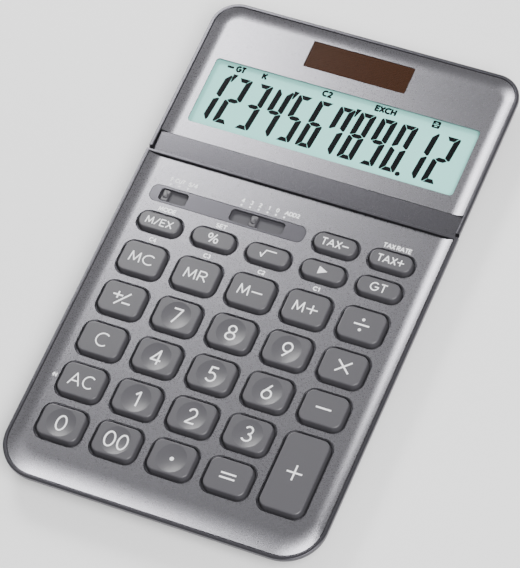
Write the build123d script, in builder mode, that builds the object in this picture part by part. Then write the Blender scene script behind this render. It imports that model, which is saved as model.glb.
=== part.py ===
from build123d import *

import os
from math import atan, cos, degrees, radians, sin, tan

# Desktop calculator with a tilting display, thirty-one sprung keys and two slide switches.
# Units are millimetres. The calculator lies face up: +X runs to the right along a row of keys,
# +Y runs away from the user towards the display, +Z is up. The origin is on the desk, under the
# middle of the outline.

# Keys, in five columns, four rows of main keys with one more above, and two rows of small keys
key_width = 15.0
key_height = 11.85
small_key_height = 6.8
column_pitch = 19.04
row_pitch = 15.55
small_row_gap = 14.1  # from the last row of main keys to the first row of small ones
small_row_pitch = 10.33
key_radius = 3.1
key_gap = 0.25
key_draft = 8.0
key_rise = 1.5
flange_thickness = 0.6
flange_lip = 0.7
flange_gap = 0.3
web_lip = 0.35
dimple_edge = 1.325  # from a dimple to the front and rear of its key
dimple_depth = 0.45
dimple_draft = 45.0
dimple_sides = 12
corner_flats = 3  # short flats in each corner of a key and of its opening
key_field_x = -0.7

# Display window and solar cell
window_width = 93.2
window_height = 25.6
window_radius = 1.2
window_x = 0.0
solar_width = 36.0
solar_height = 10.3
solar_x = -0.3

# Margins of the two faces round the keys, the window and the solar cell
key_side_margin = 8.92
key_front_margin = 14.825
key_rear_margin = 11.37
window_side_margin = 7.9
window_front_margin = 13.9
window_rear_margin = 5.6
solar_rear_margin = 5.75
seam_gap = 0.2

# Whole calculator, seen from above: as wide as its keys or its window need, whichever is more
keys_width = (5 - 1) * column_pitch + key_width
overall_width = max(keys_width + 2 * key_side_margin, window_width + 2 * window_side_margin)
row_lengths = key_height / 2 + 4 * row_pitch + small_row_gap + small_row_pitch + small_key_height / 2
base_length = key_front_margin + row_lengths + key_rear_margin
window_lengths = window_front_margin + window_height + window_rear_margin
display_length = window_lengths + solar_height + solar_rear_margin
overall_length = base_length + seam_gap + display_length
half_width = overall_width / 2
front_y = -overall_length / 2
rear_y = overall_length / 2
seam_y = front_y + base_length  # rear face of the keyboard half
display_front_y = seam_y + seam_gap
front_corner_radius = 13.5
rear_corner_radius = 9.0
least_radius = 0.5
display_side_step = 0.2  # the display half is this much narrower on each side
window_y = display_front_y + window_front_margin + window_height / 2
solar_y = rear_y - solar_rear_margin - solar_height / 2
first_row_y = front_y + key_front_margin + key_height / 2
small_row_y = first_row_y + 4 * row_pitch + small_row_gap
top_row_y = small_row_y + small_row_pitch
dimple_radius = key_height / 2 - dimple_edge

# Layers, from the desk up
foot_height = 0.8
floor_thickness = 1.2
post_height = 2.6
board_thickness = 0.8
mat_thickness = 0.4
dome_height = 1.0
dome_gap = 0.1
web_thickness = 0.9
glue_thickness = 0.1
panel_thickness = 0.5
dish_depth = 1.0

case_z = foot_height
floor_z = case_z + floor_thickness
board_z = floor_z + post_height
board_top_z = board_z + board_thickness
mat_top_z = board_top_z + mat_thickness
key_z = mat_top_z + dome_height + dome_gap
flange_z = key_z + flange_thickness
web_z = flange_z + flange_gap
seat_z = web_z + web_thickness
panel_z = seat_z + glue_thickness
face_z = panel_z + panel_thickness
rim_z = face_z + dish_depth

# Case walls
rim_width = 1.3
rim_height = 1.5  # upright part of the side wall
rim_chamfer = 0.25
rear_rim_width = 1.0
parting_gap = 0.1
reveal = 0.3  # the lower case starts this far inside the rim
under_inset = 5.5  # and ends this far inside it at its bottom
wall = 1.5
tub_flats = 4  # short flats in each round corner of the tapered lower cases
skirt_clearance = 0.2
parting_z = rim_z - rim_height
tub_slope = degrees(atan((under_inset - reveal) / (parting_z - case_z)))
lower_top_z = parting_z - parting_gap

# Dished metal faces
panel_gap = 0.15
panel_edge_step = 0.1
side_run = 4.5
front_run = 8.0
display_run = 4.5
rise_shares = [0, 0.5, 1]
dish_corner_loss = 4.0
band_width = 7.7
crease_y = display_front_y + band_width  # the display face bends down towards the seam here
band_fall = 0.4

# Hinge
nose_radius = 1.7
nose_skin = 0.2
nose_depth = 4.7
nose_side_gap = 0.3
lug_radius = 0.9
lug_sides = 12
lug_width = 6.0
lug_side_margin = 16.5
lug_x = half_width - lug_side_margin
lug_clearance = 0.15
lug_side_gap = 0.2
pin_radius = 0.45
pin_press_clearance = 0.01
pin_running_clearance = 0.05
pin_engagement = 3.2
tilt_range = 20.0
tilt_spare = 6.0
rebate_clearance = 0.2
axis_y = display_front_y + nose_radius
band_top_z = face_z - band_fall
band_under_z = band_top_z - panel_thickness
axis_z = band_under_z - glue_thickness - nose_skin - lug_clearance - lug_radius

# Slide switches, on a strip as long as three keys
strip_overhang = 0.61
strip_row_step = 0.47
strip_x = key_field_x - column_pitch
strip_y = top_row_y + strip_row_step
strip_width = 2 * column_pitch + key_width + 2 * strip_overhang
strip_height = 6.1
strip_radius = 2.3
strip_gap = 0.1
strip_flange_lip = 1.0
strip_flange_thickness = 0.6
slot_height = 4.65
slot_radius = 1.0
slot_depth = 1.4
channel_height = 1.5
channel_end = 1.6
knob_width = 2.4
knob_side_gap = 0.25
knob_floor_gap = 0.1
knob_proud = 0.15
knob_ridge = 0.3
stem_width = 1.2
stem_gap = 0.2
foot_plate_width = 4.4
foot_plate_height = 5.0
foot_plate_gap = 0.25
slot_end_margin = 3.15  # from each slot to its end of the strip
decimal_slot_margin = 7.3
rounding_slot_width = 9.8
decimal_slot_width = 18.9
rounding_slot_x = strip_x - strip_width / 2 + slot_end_margin + rounding_slot_width / 2
decimal_slot_x = strip_x + strip_width / 2 - decimal_slot_margin - decimal_slot_width / 2
rounding_rest_step = -2.9
decimal_rest_step = -1.25

# Window plate, liquid crystal glass and solar cell
window_ledge = 0.8
window_plate_thickness = 0.6
fit_gap = 0.15
glass_thickness = 1.5
glass_margin_x = 1.6
glass_margin_y = 2.6
glass_gap = 0.1
reflector_thickness = 0.2
reflector_margin = 0.8
zebra_width = 1.4
zebra_share_of_width = 0.97
solar_cell_thickness = 1.1
solar_cell_margin = 1.0

# Boards, the mat on the main board, and the ribs under the boards
board_side_gap = 1.0
board_front_margin = 13.55
board_rear_gap = 1.2
board_corner = 4.0
dome_margin = 3.5
dome_draft = 25.0
mat_margin = 1.6
display_board_front_margin = 12.0
display_board_rear_margin = 7.75
display_board_overhang = 0.4
board_front_y = front_y + board_front_margin
display_board_front_y = display_front_y + display_board_front_margin
display_board_rear_y = rear_y - display_board_rear_margin
display_board_half_width = window_width / 2 + display_board_overhang
rib_width = 1.2
rib_side_margin = 16.5
rib_front_margin = 21.75
rib_rear_margin = 22.4
display_rib_front_margin = 13.4
display_rib_rear_margin = 23.75
rib_x = half_width - rib_side_margin

# Screws that hold the cases together from below
small_sides = 8  # screws and their holes are this plain
screw_radius = 0.9
screw_head_radius = 1.8
screw_head_height = 1.1
screw_head_gap = 0.2
screw_depth = 4.2
screw_recess = 0.25
screw_seat_height = 1.2
screw_seat_wall = 0.8
boss_radius = 1.7
boss_gap = 0.1
thread_clearance = 0.02
end_screw_margin = 11.35
end_screw_side_margin = 23.5
seam_screw_margin = 5.8
seam_screw_side_margin = 11.5
display_seam_screw_margin = 8.8
display_screw_side_margin = 10.5
rear_screw_margin = 9.35
rear_screw_side_margin = 22.5
end_screw_x = half_width - end_screw_side_margin
seam_screw_x = half_width - seam_screw_side_margin
display_screw_x = half_width - display_screw_side_margin
rear_screw_x = half_width - rear_screw_side_margin
base_screw_places = [(x, front_y + end_screw_margin) for x in (-end_screw_x, 0, end_screw_x)]
base_screw_places += [(x, seam_y - seam_screw_margin) for x in (-seam_screw_x, seam_screw_x)]
display_screw_places = [
    *[(x, display_front_y + display_seam_screw_margin) for x in (-display_screw_x, display_screw_x)],
    *[(x, rear_y - rear_screw_margin) for x in (-rear_screw_x, rear_screw_x)],
]

# Coin cell, under a cover in the floor
cell_x = 18.0
cell_seam_margin = 34.4
cell_y = seam_y - cell_seam_margin
cell_radius = 10.0
cell_sides = 36
cell_thickness = 2.0
cell_gap = 0.3
cell_wall = 1.1
cell_rib_step = 25.0
contact_thickness = 0.2
contact_width = 4.0
cover_margin = 2.4
cover_tail = 9.0
cover_gap = 0.15
cover_thickness = 0.7
cover_screw_radius = 0.8
cover_screw_head_radius = 1.6
cover_screw_head_height = 0.45
cover_screw_depth = 2.6
grip_width = 8.0
grip_height = 0.8
grip_depth = 0.3

# Feet, ribbon
foot_width = 12.0
foot_length = 5.0
foot_sink = 0.4
foot_gap = 0.1
foot_side_margin = 16.5
foot_front_margin = 19.75
foot_seam_margin = 14.4
display_foot_side_margin = 18.5
foot_rear_margin = 17.75
foot_x = half_width - foot_side_margin
display_foot_x = half_width - display_foot_side_margin
base_foot_places = [
    (x, y) for y in (front_y + foot_front_margin, seam_y - foot_seam_margin) for x in (-foot_x, foot_x)
]
display_foot_places = [(x, rear_y - foot_rear_margin) for x in (-display_foot_x, display_foot_x)]
ribbon_width = 14.0
ribbon_thickness = 0.2
ribbon_overlap = 5.0
ribbon_gap = 0.6

overrun = 1.0


def lower_inset(z):
    """How far inside the rim the tapered lower case lies at a height."""
    share = (parting_z - z) / (parting_z - case_z)
    return reveal + (under_inset - reveal) * share


def corner_points(quarter, corner_x, corner_y, radius, flats):
    """Points of a round corner, drawn as short flats; quarter 0 faces right and to the rear."""
    outward_x = -1 if quarter in (1, 2) else 1
    outward_y = -1 if quarter in (2, 3) else 1
    centre_x = corner_x - outward_x * radius
    centre_y = corner_y - outward_y * radius
    turns = [radians(90 * (quarter + step / flats)) for step in range(flats + 1)]
    return [(centre_x + radius * cos(turn), centre_y + radius * sin(turn)) for turn in turns]


def base_tub_outline(inset, rear_inset):
    """Plan outline of the keyboard half's tapered tub, its front corners drawn as flats."""
    side = half_width - inset
    front = front_y + inset
    rear = seam_y - rear_inset
    radius = max(front_corner_radius - inset, least_radius)
    with BuildSketch() as shape:
        Polygon(
            (side, rear),
            (-side, rear),
            *corner_points(2, -side, front, radius, tub_flats),
            *corner_points(3, side, front, radius, tub_flats),
            align=None,
        )
    return shape.sketch


def display_tub_outline(inset, front_inset):
    """Plan outline of the display half's tapered tub, its rear corners drawn as flats."""
    side = half_width - display_side_step - inset
    front = display_front_y + front_inset
    rear = rear_y - inset
    radius = max(rear_corner_radius - inset, least_radius)
    with BuildSketch() as shape:
        Polygon(
            *corner_points(0, side, rear, radius, tub_flats),
            *corner_points(1, -side, rear, radius, tub_flats),
            (-side, front),
            (side, front),
            align=None,
        )
    return shape.sketch


def base_outline(inset, rear_inset):
    """Plan outline of the keyboard half, drawn in by an inset, with round front corners."""
    front = front_y + inset
    rear = seam_y - rear_inset
    with BuildSketch() as shape:
        with Locations((0, (front + rear) / 2)):
            Rectangle(overall_width - 2 * inset, rear - front)
        corners = shape.vertices().group_by(Axis.Y)[0]
        fillet(corners, radius=max(front_corner_radius - inset, least_radius))
    return shape.sketch


def display_outline(inset, front_inset):
    """Plan outline of the display half, drawn in by an inset, with round rear corners."""
    front = display_front_y + front_inset
    rear = rear_y - inset
    with BuildSketch() as shape:
        with Locations((0, (front + rear) / 2)):
            Rectangle(overall_width - 2 * (inset + display_side_step), rear - front)
        corners = shape.vertices().group_by(Axis.Y)[-1]
        fillet(corners, radius=max(rear_corner_radius - inset, least_radius))
    return shape.sketch


def dish(half_span, closed_y, open_y, end_run, corner_radius, drop):
    """The room above a dished face: flat floor, sides and one end that curve up to the rim."""
    outward = 1 if closed_y > open_y else -1
    edge_rise = dish_depth - panel_edge_step
    with BuildPart() as room:
        for share in rise_shares:
            half = half_span - side_run * (1 - share)
            end = closed_y - outward * end_run * (1 - share)
            with BuildSketch(Plane.XY.offset(face_z - drop + edge_rise * share**2)) as level:
                with Locations((0, (end + open_y) / 2)):
                    Rectangle(2 * half, abs(end - open_y))
                corners = level.vertices().group_by(Axis.Y)[-1 if outward > 0 else 0]
                fillet(corners, radius=corner_radius - dish_corner_loss * (1 - share))
        loft(ruled=True)
        extrude(room.faces().sort_by(Axis.Z)[-1], amount=dish_depth + overrun)
    return room.part


def base_dish(drop):
    """The dish of the keyboard face; a drop gives the underside of the sheet or its seat."""
    half_span = half_width - rim_width
    front = front_y + rim_width
    rear = seam_y - rear_rim_width
    return dish(half_span, front, rear, front_run, front_corner_radius - rim_width, drop)


def display_dish(drop):
    """The dish of the display face, open over the seam."""
    half_span = half_width - display_side_step - rim_width
    open_y = display_front_y - nose_radius
    return dish(
        half_span, rear_y - rim_width, open_y, display_run, rear_corner_radius - rim_width, drop
    )


def band_room(drop):
    """The room above the sloped band between the crease of the display face and the seam."""
    half_span = half_width - display_side_step - rim_width
    front = display_front_y - overrun
    slope = band_fall / band_width
    with BuildPart() as room:
        with BuildSketch(Plane.YZ.offset(-half_span)):
            with BuildLine():
                Polyline(
                    (crease_y, face_z - drop),
                    (front, face_z - drop - slope * (crease_y - front)),
                    (front, rim_z + overrun),
                    (crease_y, rim_z + overrun),
                    close=True,
                )
            make_face()
        extrude(amount=2 * half_span)
    return room.part


def swing_envelope():
    """Everything behind the display half's front: upright below the axis, round at the axis and
    leaning back above it, so that it turns clear of the keyboard half."""
    lean = radians(tilt_range)
    touch = (axis_y - nose_radius * cos(lean), axis_z + nose_radius * sin(lean))
    middle = (axis_y - nose_radius * cos(lean / 2), axis_z + nose_radius * sin(lean / 2))
    top = rim_z + overrun
    rear = rear_y + overrun
    lean_y = touch[0] + (top - touch[1]) * tan(lean)
    with BuildPart() as envelope:
        with BuildSketch(Plane.YZ.offset(-overall_width)):
            with BuildLine():
                Polyline(
                    (rear, top),
                    (rear, -overrun),
                    (display_front_y, -overrun),
                    (display_front_y, axis_z),
                )
                ThreePointArc((display_front_y, axis_z), middle, touch)
                Polyline(touch, (lean_y, top), (rear, top))
            make_face()
        extrude(amount=2 * overall_width)
    return envelope.part


def tapered_block(outline, low_z, high_z, end_y, kept_side):
    """A block that widens upwards with the slope of the lower cases and ends upright at end_y."""
    with BuildPart() as block:
        with BuildSketch(Plane.XY.offset(low_z)):
            add(outline)
        extrude(amount=high_z - low_z, taper=-tub_slope)
        split(bisect_by=Plane.XZ.offset(-end_y), keep=kept_side)
    return block.part


def seam_rebate():
    """The room under the rear rim of the keyboard half. When the display tilts, the front edge of
    its sheet dips into it, so that the seam stays narrow."""
    tilt = radians(tilt_range)
    front = axis_y - nose_radius * cos(tilt) - (band_top_z - axis_z) * sin(tilt) - rebate_clearance
    low_z = axis_z + (band_under_z - axis_z) * cos(tilt) - nose_radius * sin(tilt) - rebate_clearance
    with BuildPart() as room:
        with BuildSketch(Plane.XY.offset(low_z)):
            with Locations((0, seam_y)):
                Rectangle(overall_width - 2 * rim_width, 2 * (seam_y - front))
        extrude(amount=band_top_z + rebate_clearance - low_z)
    return room.part


def key_outline(width, height, radius):
    """A rectangle in the open sketch with each round corner drawn as short flats."""
    right = width / 2
    rear = height / 2
    Polygon(
        *corner_points(0, right, rear, radius, corner_flats),
        *corner_points(1, -right, rear, radius, corner_flats),
        *corner_points(2, -right, -rear, radius, corner_flats),
        *corner_points(3, right, -rear, radius, corner_flats),
    )


def small_round(radius, places, mode=Mode.ADD):
    """Plain round sections of screws, bosses and their holes, in the open sketch."""
    with Locations(*places):
        RegularPolygon(radius, small_sides, mode=mode)


def finish(builder, name):
    """Name a finished piece and write its file."""
    builder.part.label = name
    export_step(builder.part, f"parts/{name}.step")


def column_x(column):
    """Middle of a key column, counted from the left."""
    return key_field_x + (column - 2) * column_pitch


# Every key: name, column, middle of its row, height of its cap, whether its top is dimpled
row_y = {letter: first_row_y + step * row_pitch for step, letter in enumerate("GFEDC")}
row_y["B"] = small_row_y
row_y["A"] = top_row_y
tall_key_height = row_pitch + key_height
main_rows = {
    "C": ["mc", "mr", "m_minus", "m_plus", "divide"],
    "D": ["sign", "7", "8", "9", "times"],
    "E": ["c", "4", "5", "6", "minus"],
    "F": ["ac", "1", "2", "3"],
    "G": ["0", "00", "point", "equals"],
}
small_rows = {
    "A": [None, None, None, "tax_minus", "tax_plus"],
    "B": ["mode", "percent", "root", "backspace", "grand_total"],
}
dimpled = ["0", "00", "point", "1", "2", "3", "4", "5", "6", "7", "8", "9"]
keys = [("plus", 4, (row_y["F"] + row_y["G"]) / 2, tall_key_height)]
for letter, names in main_rows.items():
    keys += [(name, column, row_y[letter], key_height) for column, name in enumerate(names)]
for letter, names in small_rows.items():
    keys += [(name, column, row_y[letter], small_key_height) for column, name in enumerate(names) if name]

os.makedirs("parts", exist_ok=True)

# Keyboard panel: a dished metal sheet with a hole for each key and one for the switch strip
panel_inset = rim_width + panel_gap
panel_outline = base_outline(panel_inset, rear_rim_width + panel_gap)
face_room = base_dish(0)
sheet_room = base_dish(panel_thickness)
with BuildPart() as keyboard_panel:
    with BuildSketch(Plane.XY.offset(seat_z)):
        add(panel_outline)
    extrude(amount=dish_depth + rim_z - seat_z)
    add(sheet_room, mode=Mode.INTERSECT)
    add(face_room, mode=Mode.SUBTRACT)
    with BuildSketch(Plane.XY.offset(panel_z)):
        for name, column, y, height in keys:
            with Locations((column_x(column), y)):
                key_outline(key_width + 2 * key_gap, height + 2 * key_gap, key_radius + key_gap)
        with Locations((strip_x, strip_y)):
            key_outline(strip_width + 2 * strip_gap, strip_height + 2 * strip_gap, strip_radius + strip_gap)
    extrude(amount=panel_thickness, mode=Mode.SUBTRACT)
finish(keyboard_panel, "keyboard_panel")

# Base upper case: the rim round the panel, the web that holds the keys down, and the screw bosses
seat_room = base_dish(panel_thickness + glue_thickness)
rebate = seam_rebate()
skirt_inset = lower_inset(web_z) + wall + skirt_clearance
boss_z = floor_z + screw_seat_height + boss_gap
with BuildPart() as base_upper_case:
    with BuildSketch(Plane.XY.offset(parting_z)):
        add(base_outline(0, 0))
    extrude(amount=rim_height)
    chamfer(base_upper_case.faces().sort_by(Axis.Z)[-1].edges(), length=rim_chamfer)
    with BuildSketch(Plane.XY.offset(web_z)):
        add(base_outline(skirt_inset, wall + skirt_clearance))
    extrude(amount=parting_z - web_z)
    add(seat_room, mode=Mode.SUBTRACT)
    add(rebate, mode=Mode.SUBTRACT)
    with BuildSketch(Plane.XY.offset(boss_z)):
        small_round(boss_radius, base_screw_places)
    extrude(amount=web_z - boss_z)
    with BuildSketch(Plane.XY.offset(web_z)):
        for name, column, y, height in keys:
            with Locations((column_x(column), y)):
                Rectangle(key_width + 2 * web_lip, height + 2 * web_lip)
        with Locations((strip_x, strip_y)):
            Rectangle(strip_width + 2 * strip_gap, strip_height + 2 * strip_gap)
    extrude(amount=web_thickness, mode=Mode.SUBTRACT)
    with BuildSketch(Plane.XY.offset(boss_z)):
        small_round(screw_radius + thread_clearance, base_screw_places)
    extrude(amount=screw_depth, mode=Mode.SUBTRACT)
finish(base_upper_case, "base_upper_case")

# Base lower case: a tapered tub with posts, screw seats, the cell's pocket and the hinge lugs
base_shell = tapered_block(
    base_tub_outline(lower_inset(case_z), 0), case_z, lower_top_z, seam_y, Keep.TOP
)
base_cavity = tapered_block(
    base_tub_outline(lower_inset(floor_z) + wall, wall), floor_z, lower_top_z, seam_y - wall, Keep.TOP
)
pocket_half = cell_radius + cell_gap
cover_length = 2 * (cell_radius + cover_margin) + cover_tail
cover_width = 2 * (cell_radius + cover_margin)
cover_y = cell_y + cover_tail / 2
cover_screw_y = cell_y + cell_radius + cover_margin + cover_tail / 2
cover_top_z = case_z + cover_thickness
head_room = screw_recess + screw_head_height
seat_radius = screw_head_radius + screw_head_gap + screw_seat_wall
with BuildPart() as base_lower_case:
    add(base_shell)
    add(base_cavity, mode=Mode.SUBTRACT)
    add(rebate, mode=Mode.SUBTRACT)
    with BuildSketch(Plane.XY.offset(floor_z)):
        rib_length = base_length - rib_front_margin - rib_rear_margin
        for x in (-rib_x, cell_x - cell_rib_step, rib_x):
            with Locations((x, seam_y - rib_rear_margin - rib_length / 2)):
                Rectangle(rib_width, rib_length)
    extrude(amount=post_height)
    with BuildSketch(Plane.XY.offset(floor_z)):
        small_round(seat_radius, base_screw_places)
    extrude(amount=screw_seat_height)
    with BuildSketch(Plane.XY.offset(floor_z)):
        with Locations((cell_x, cell_y)):
            Rectangle(2 * (pocket_half + cell_wall), 2 * (pocket_half + cell_wall))
        small_round(boss_radius, [(cell_x, cover_screw_y)])
    extrude(amount=cell_thickness)
    with BuildSketch(Plane.XY.offset(case_z)):
        with Locations((cell_x, cover_y)):
            Rectangle(cover_width + 2 * cover_gap, cover_length + 2 * cover_gap)
    extrude(amount=cover_thickness + cover_gap, mode=Mode.SUBTRACT)
    with BuildSketch(Plane.XY.offset(case_z)):
        with Locations((cell_x, cell_y)):
            Rectangle(2 * pocket_half, 2 * pocket_half)
        small_round(cover_screw_radius + thread_clearance, [(cell_x, cover_screw_y)])
    extrude(amount=floor_thickness + cell_thickness, mode=Mode.SUBTRACT)
    with BuildSketch(Plane.XY.offset(case_z)):
        with Locations(*base_foot_places):
            Rectangle(foot_width + 2 * foot_gap, foot_length + 2 * foot_gap)
    extrude(amount=foot_sink, mode=Mode.SUBTRACT)
    with BuildSketch(Plane.XY.offset(case_z)):
        small_round(screw_head_radius + screw_head_gap, base_screw_places)
    extrude(amount=head_room + screw_head_gap, mode=Mode.SUBTRACT)
    with BuildSketch(Plane.XY.offset(case_z)):
        small_round(screw_radius + screw_head_gap, base_screw_places)
    extrude(amount=floor_thickness + screw_seat_height, mode=Mode.SUBTRACT)
    for side in (-1, 1):
        with BuildSketch(Plane.YZ.offset(side * lug_x - lug_width / 2)):
            with Locations((axis_y, axis_z)):
                RegularPolygon(lug_radius, lug_sides)
            with Locations(((seam_y - overrun + axis_y) / 2, axis_z - lug_radius / 2)):
                Rectangle(axis_y - seam_y + overrun, lug_radius)
            with Locations((axis_y, axis_z)):
                Circle(pin_radius + pin_press_clearance, mode=Mode.SUBTRACT)
        extrude(amount=lug_width)
    with BuildSketch(Plane.XZ.offset(-seam_y)):
        with Locations((0, board_top_z + ribbon_thickness / 2)):
            Rectangle(ribbon_width + 2 * ribbon_gap, ribbon_thickness + 2 * ribbon_gap)
    extrude(amount=wall, mode=Mode.SUBTRACT)
finish(base_lower_case, "base_lower_case")

# Main circuit board, lying on the posts
board_inset = lower_inset(board_z) + wall + board_side_gap
board_rear_y = seam_y - wall - board_rear_gap
with BuildPart() as main_board:
    with BuildSketch(Plane.XY.offset(board_z)) as board_sketch:
        with Locations((0, (board_front_y + board_rear_y) / 2)):
            Rectangle(overall_width - 2 * board_inset, board_rear_y - board_front_y)
        chamfer(board_sketch.vertices(), length=board_corner)
        small_round(boss_radius + screw_head_gap, base_screw_places, Mode.SUBTRACT)
    extrude(amount=board_thickness)
finish(main_board, "main_board")

# Rubber key mat: a sheet on the board with a raised pad under each key
with BuildPart() as rubber_key_mat:
    mat_front = first_row_y - key_height / 2 - mat_margin
    mat_middle = small_row_y + small_key_height / 2 + mat_margin
    mat_rear = top_row_y + small_key_height / 2 + mat_margin
    mat_left = column_x(0) - key_width / 2 - mat_margin
    mat_right = column_x(4) + key_width / 2 + mat_margin
    step_x = column_x(3) - key_width / 2 - mat_margin
    with BuildSketch(Plane.XY.offset(board_top_z)):
        with BuildLine():
            Polyline(
                (mat_left, mat_front),
                (mat_right, mat_front),
                (mat_right, mat_rear),
                (step_x, mat_rear),
                (step_x, mat_middle),
                (mat_left, mat_middle),
                close=True,
            )
        make_face()
    extrude(amount=mat_thickness)
    with BuildSketch(Plane.XY.offset(mat_top_z)):
        for name, column, y, height in keys:
            with Locations((column_x(column), y)):
                Rectangle(key_width - dome_margin, height - dome_margin)
    extrude(amount=dome_height, taper=dome_draft)
finish(rubber_key_mat, "rubber_key_mat")

# Keys: a flange that stops under the web and a tapered cap, dimpled on the number keys
for name, column, y, height in keys:
    x = column_x(column)
    cap_height = face_z + key_rise - flange_z
    with BuildPart() as key:
        with BuildSketch(Plane.XY.offset(flange_z)):
            with Locations((x, y)):
                key_outline(key_width, height, key_radius)
        extrude(amount=cap_height, taper=key_draft)
        with BuildSketch(Plane.XY.offset(key_z)):
            with Locations((x, y)):
                Rectangle(key_width + 2 * flange_lip, height + 2 * flange_lip)
        extrude(amount=flange_thickness)
        if name in dimpled:
            with BuildSketch(Plane.XY.offset(face_z + key_rise)):
                with Locations((x, y)):
                    RegularPolygon(dimple_radius, dimple_sides)
            extrude(amount=-dimple_depth, taper=dimple_draft, mode=Mode.SUBTRACT)
    finish(key, f"key_{name}")

# Switch strip: the inlay with a slot for each slide switch, its flange under the web
pocket_floor_z = face_z - slot_depth
strip_flange_z = web_z - glue_thickness - strip_flange_thickness
slots = [(rounding_slot_x, rounding_slot_width), (decimal_slot_x, decimal_slot_width)]
with BuildPart() as switch_strip:
    with BuildSketch(Plane.XY.offset(strip_flange_z)):
        with Locations((strip_x, strip_y)):
            Rectangle(strip_width + 2 * strip_flange_lip, strip_height + 2 * strip_flange_lip)
    extrude(amount=strip_flange_thickness)
    with BuildSketch(Plane.XY.offset(strip_flange_z)):
        with Locations((strip_x, strip_y)):
            key_outline(strip_width, strip_height, strip_radius)
    extrude(amount=face_z - strip_flange_z)
    with BuildSketch(Plane.XY.offset(pocket_floor_z)):
        for slot_x, slot_width in slots:
            with Locations((slot_x, strip_y)):
                key_outline(slot_width, slot_height, slot_radius)
    extrude(amount=slot_depth, mode=Mode.SUBTRACT)
    with BuildSketch(Plane.XY.offset(strip_flange_z)):
        for slot_x, slot_width in slots:
            with Locations((slot_x, strip_y)):
                Rectangle(slot_width - channel_end, channel_height)
    extrude(amount=pocket_floor_z - strip_flange_z, mode=Mode.SUBTRACT)
finish(switch_strip, "switch_strip")

# Slide switches: a ridged knob, a stem through the strip's channel and a foot plate below it
foot_plate_z = board_top_z + foot_plate_gap / 2
foot_plate_top_z = strip_flange_z - foot_plate_gap
slider_places = [
    ("rounding_slider", rounding_slot_x + rounding_rest_step),
    ("decimal_slider", decimal_slot_x + decimal_rest_step),
]
for name, x in slider_places:
    knob_z = pocket_floor_z + knob_floor_gap
    knob_top_z = face_z + knob_proud
    with BuildPart() as slider:
        with BuildSketch(Plane.XY.offset(foot_plate_z)):
            with Locations((x, strip_y)):
                Rectangle(foot_plate_width, foot_plate_height)
        extrude(amount=foot_plate_top_z - foot_plate_z)
        with BuildSketch(Plane.XY.offset(foot_plate_top_z)):
            with Locations((x, strip_y)):
                Rectangle(stem_width, channel_height - stem_gap)
        extrude(amount=knob_z - foot_plate_top_z)
        with BuildSketch(Plane.XY.offset(knob_z)):
            with Locations((x, strip_y)):
                Rectangle(knob_width, slot_height - 2 * knob_side_gap)
        extrude(amount=knob_top_z - knob_z)
        with BuildSketch(Plane.XY.offset(knob_top_z - knob_ridge)):
            with Locations((x - knob_width / 4, strip_y), (x + knob_width / 4, strip_y)):
                Rectangle(knob_ridge, slot_height)
        extrude(amount=knob_ridge, mode=Mode.SUBTRACT)
    finish(slider, name)

# Coin cell, its cover and the two contacts
with BuildPart() as coin_cell:
    with BuildSketch(Plane.XY.offset(cover_top_z + cover_gap)):
        with Locations((cell_x, cell_y)):
            RegularPolygon(cell_radius, cell_sides)
    extrude(amount=cell_thickness)
finish(coin_cell, "coin_cell")

cell_top_z = cover_top_z + cover_gap + cell_thickness
with BuildPart() as cell_contacts:
    with BuildSketch(Plane.XY.offset(cell_top_z)):
        with Locations((cell_x, cell_y)):
            Rectangle(contact_width, cell_radius)
    extrude(amount=contact_thickness)
    with BuildSketch(Plane.XY.offset(cell_top_z + contact_thickness)):
        with Locations((cell_x, cell_y + cell_radius / 2 - contact_width / 4)):
            Rectangle(contact_width, contact_width / 2)
    extrude(amount=board_z - cell_top_z - contact_thickness)
finish(cell_contacts, "cell_contacts")

with BuildPart() as battery_cover:
    with BuildSketch(Plane.XY.offset(case_z)):
        with Locations((cell_x, cover_y)):
            Rectangle(cover_width, cover_length)
        small_round(cover_screw_radius + screw_head_gap, [(cell_x, cover_screw_y)], Mode.SUBTRACT)
    extrude(amount=cover_thickness)
    with BuildSketch(Plane.XY.offset(case_z)):
        small_round(cover_screw_head_radius + screw_head_gap, [(cell_x, cover_screw_y)])
    extrude(amount=cover_screw_head_height, mode=Mode.SUBTRACT)
    with BuildSketch(Plane.XY.offset(case_z)):
        with GridLocations(0, 2 * grip_height, 1, 3):
            with Locations((cell_x, cell_y)):
                Rectangle(grip_width, grip_height)
    extrude(amount=grip_depth, mode=Mode.SUBTRACT)
finish(battery_cover, "battery_cover")

with BuildPart() as battery_cover_screw:
    with BuildSketch(Plane.XY.offset(case_z)):
        small_round(cover_screw_head_radius, [(cell_x, cover_screw_y)])
    extrude(amount=cover_screw_head_height)
    with BuildSketch(Plane.XY.offset(case_z)):
        small_round(cover_screw_radius, [(cell_x, cover_screw_y)])
    extrude(amount=cover_screw_depth)
finish(battery_cover_screw, "battery_cover_screw")

# Case screws, as two groups
screw_z = case_z + screw_recess
for name, places in (("base_screws", base_screw_places), ("display_screws", display_screw_places)):
    with BuildPart() as screws:
        with BuildSketch(Plane.XY.offset(screw_z)):
            small_round(screw_head_radius, places)
        extrude(amount=screw_head_height)
        with BuildSketch(Plane.XY.offset(screw_z + screw_head_height)):
            small_round(screw_radius, places)
        extrude(amount=boss_z + screw_depth - screw_z - screw_head_height - overrun)
    finish(screws, name)

# Rubber feet, as two groups
for name, places in (("base_feet", base_foot_places), ("display_feet", display_foot_places)):
    with BuildPart() as feet:
        with BuildSketch():
            with Locations(*places):
                Rectangle(foot_width, foot_length)
        extrude(amount=foot_height + foot_sink)
    finish(feet, name)

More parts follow.
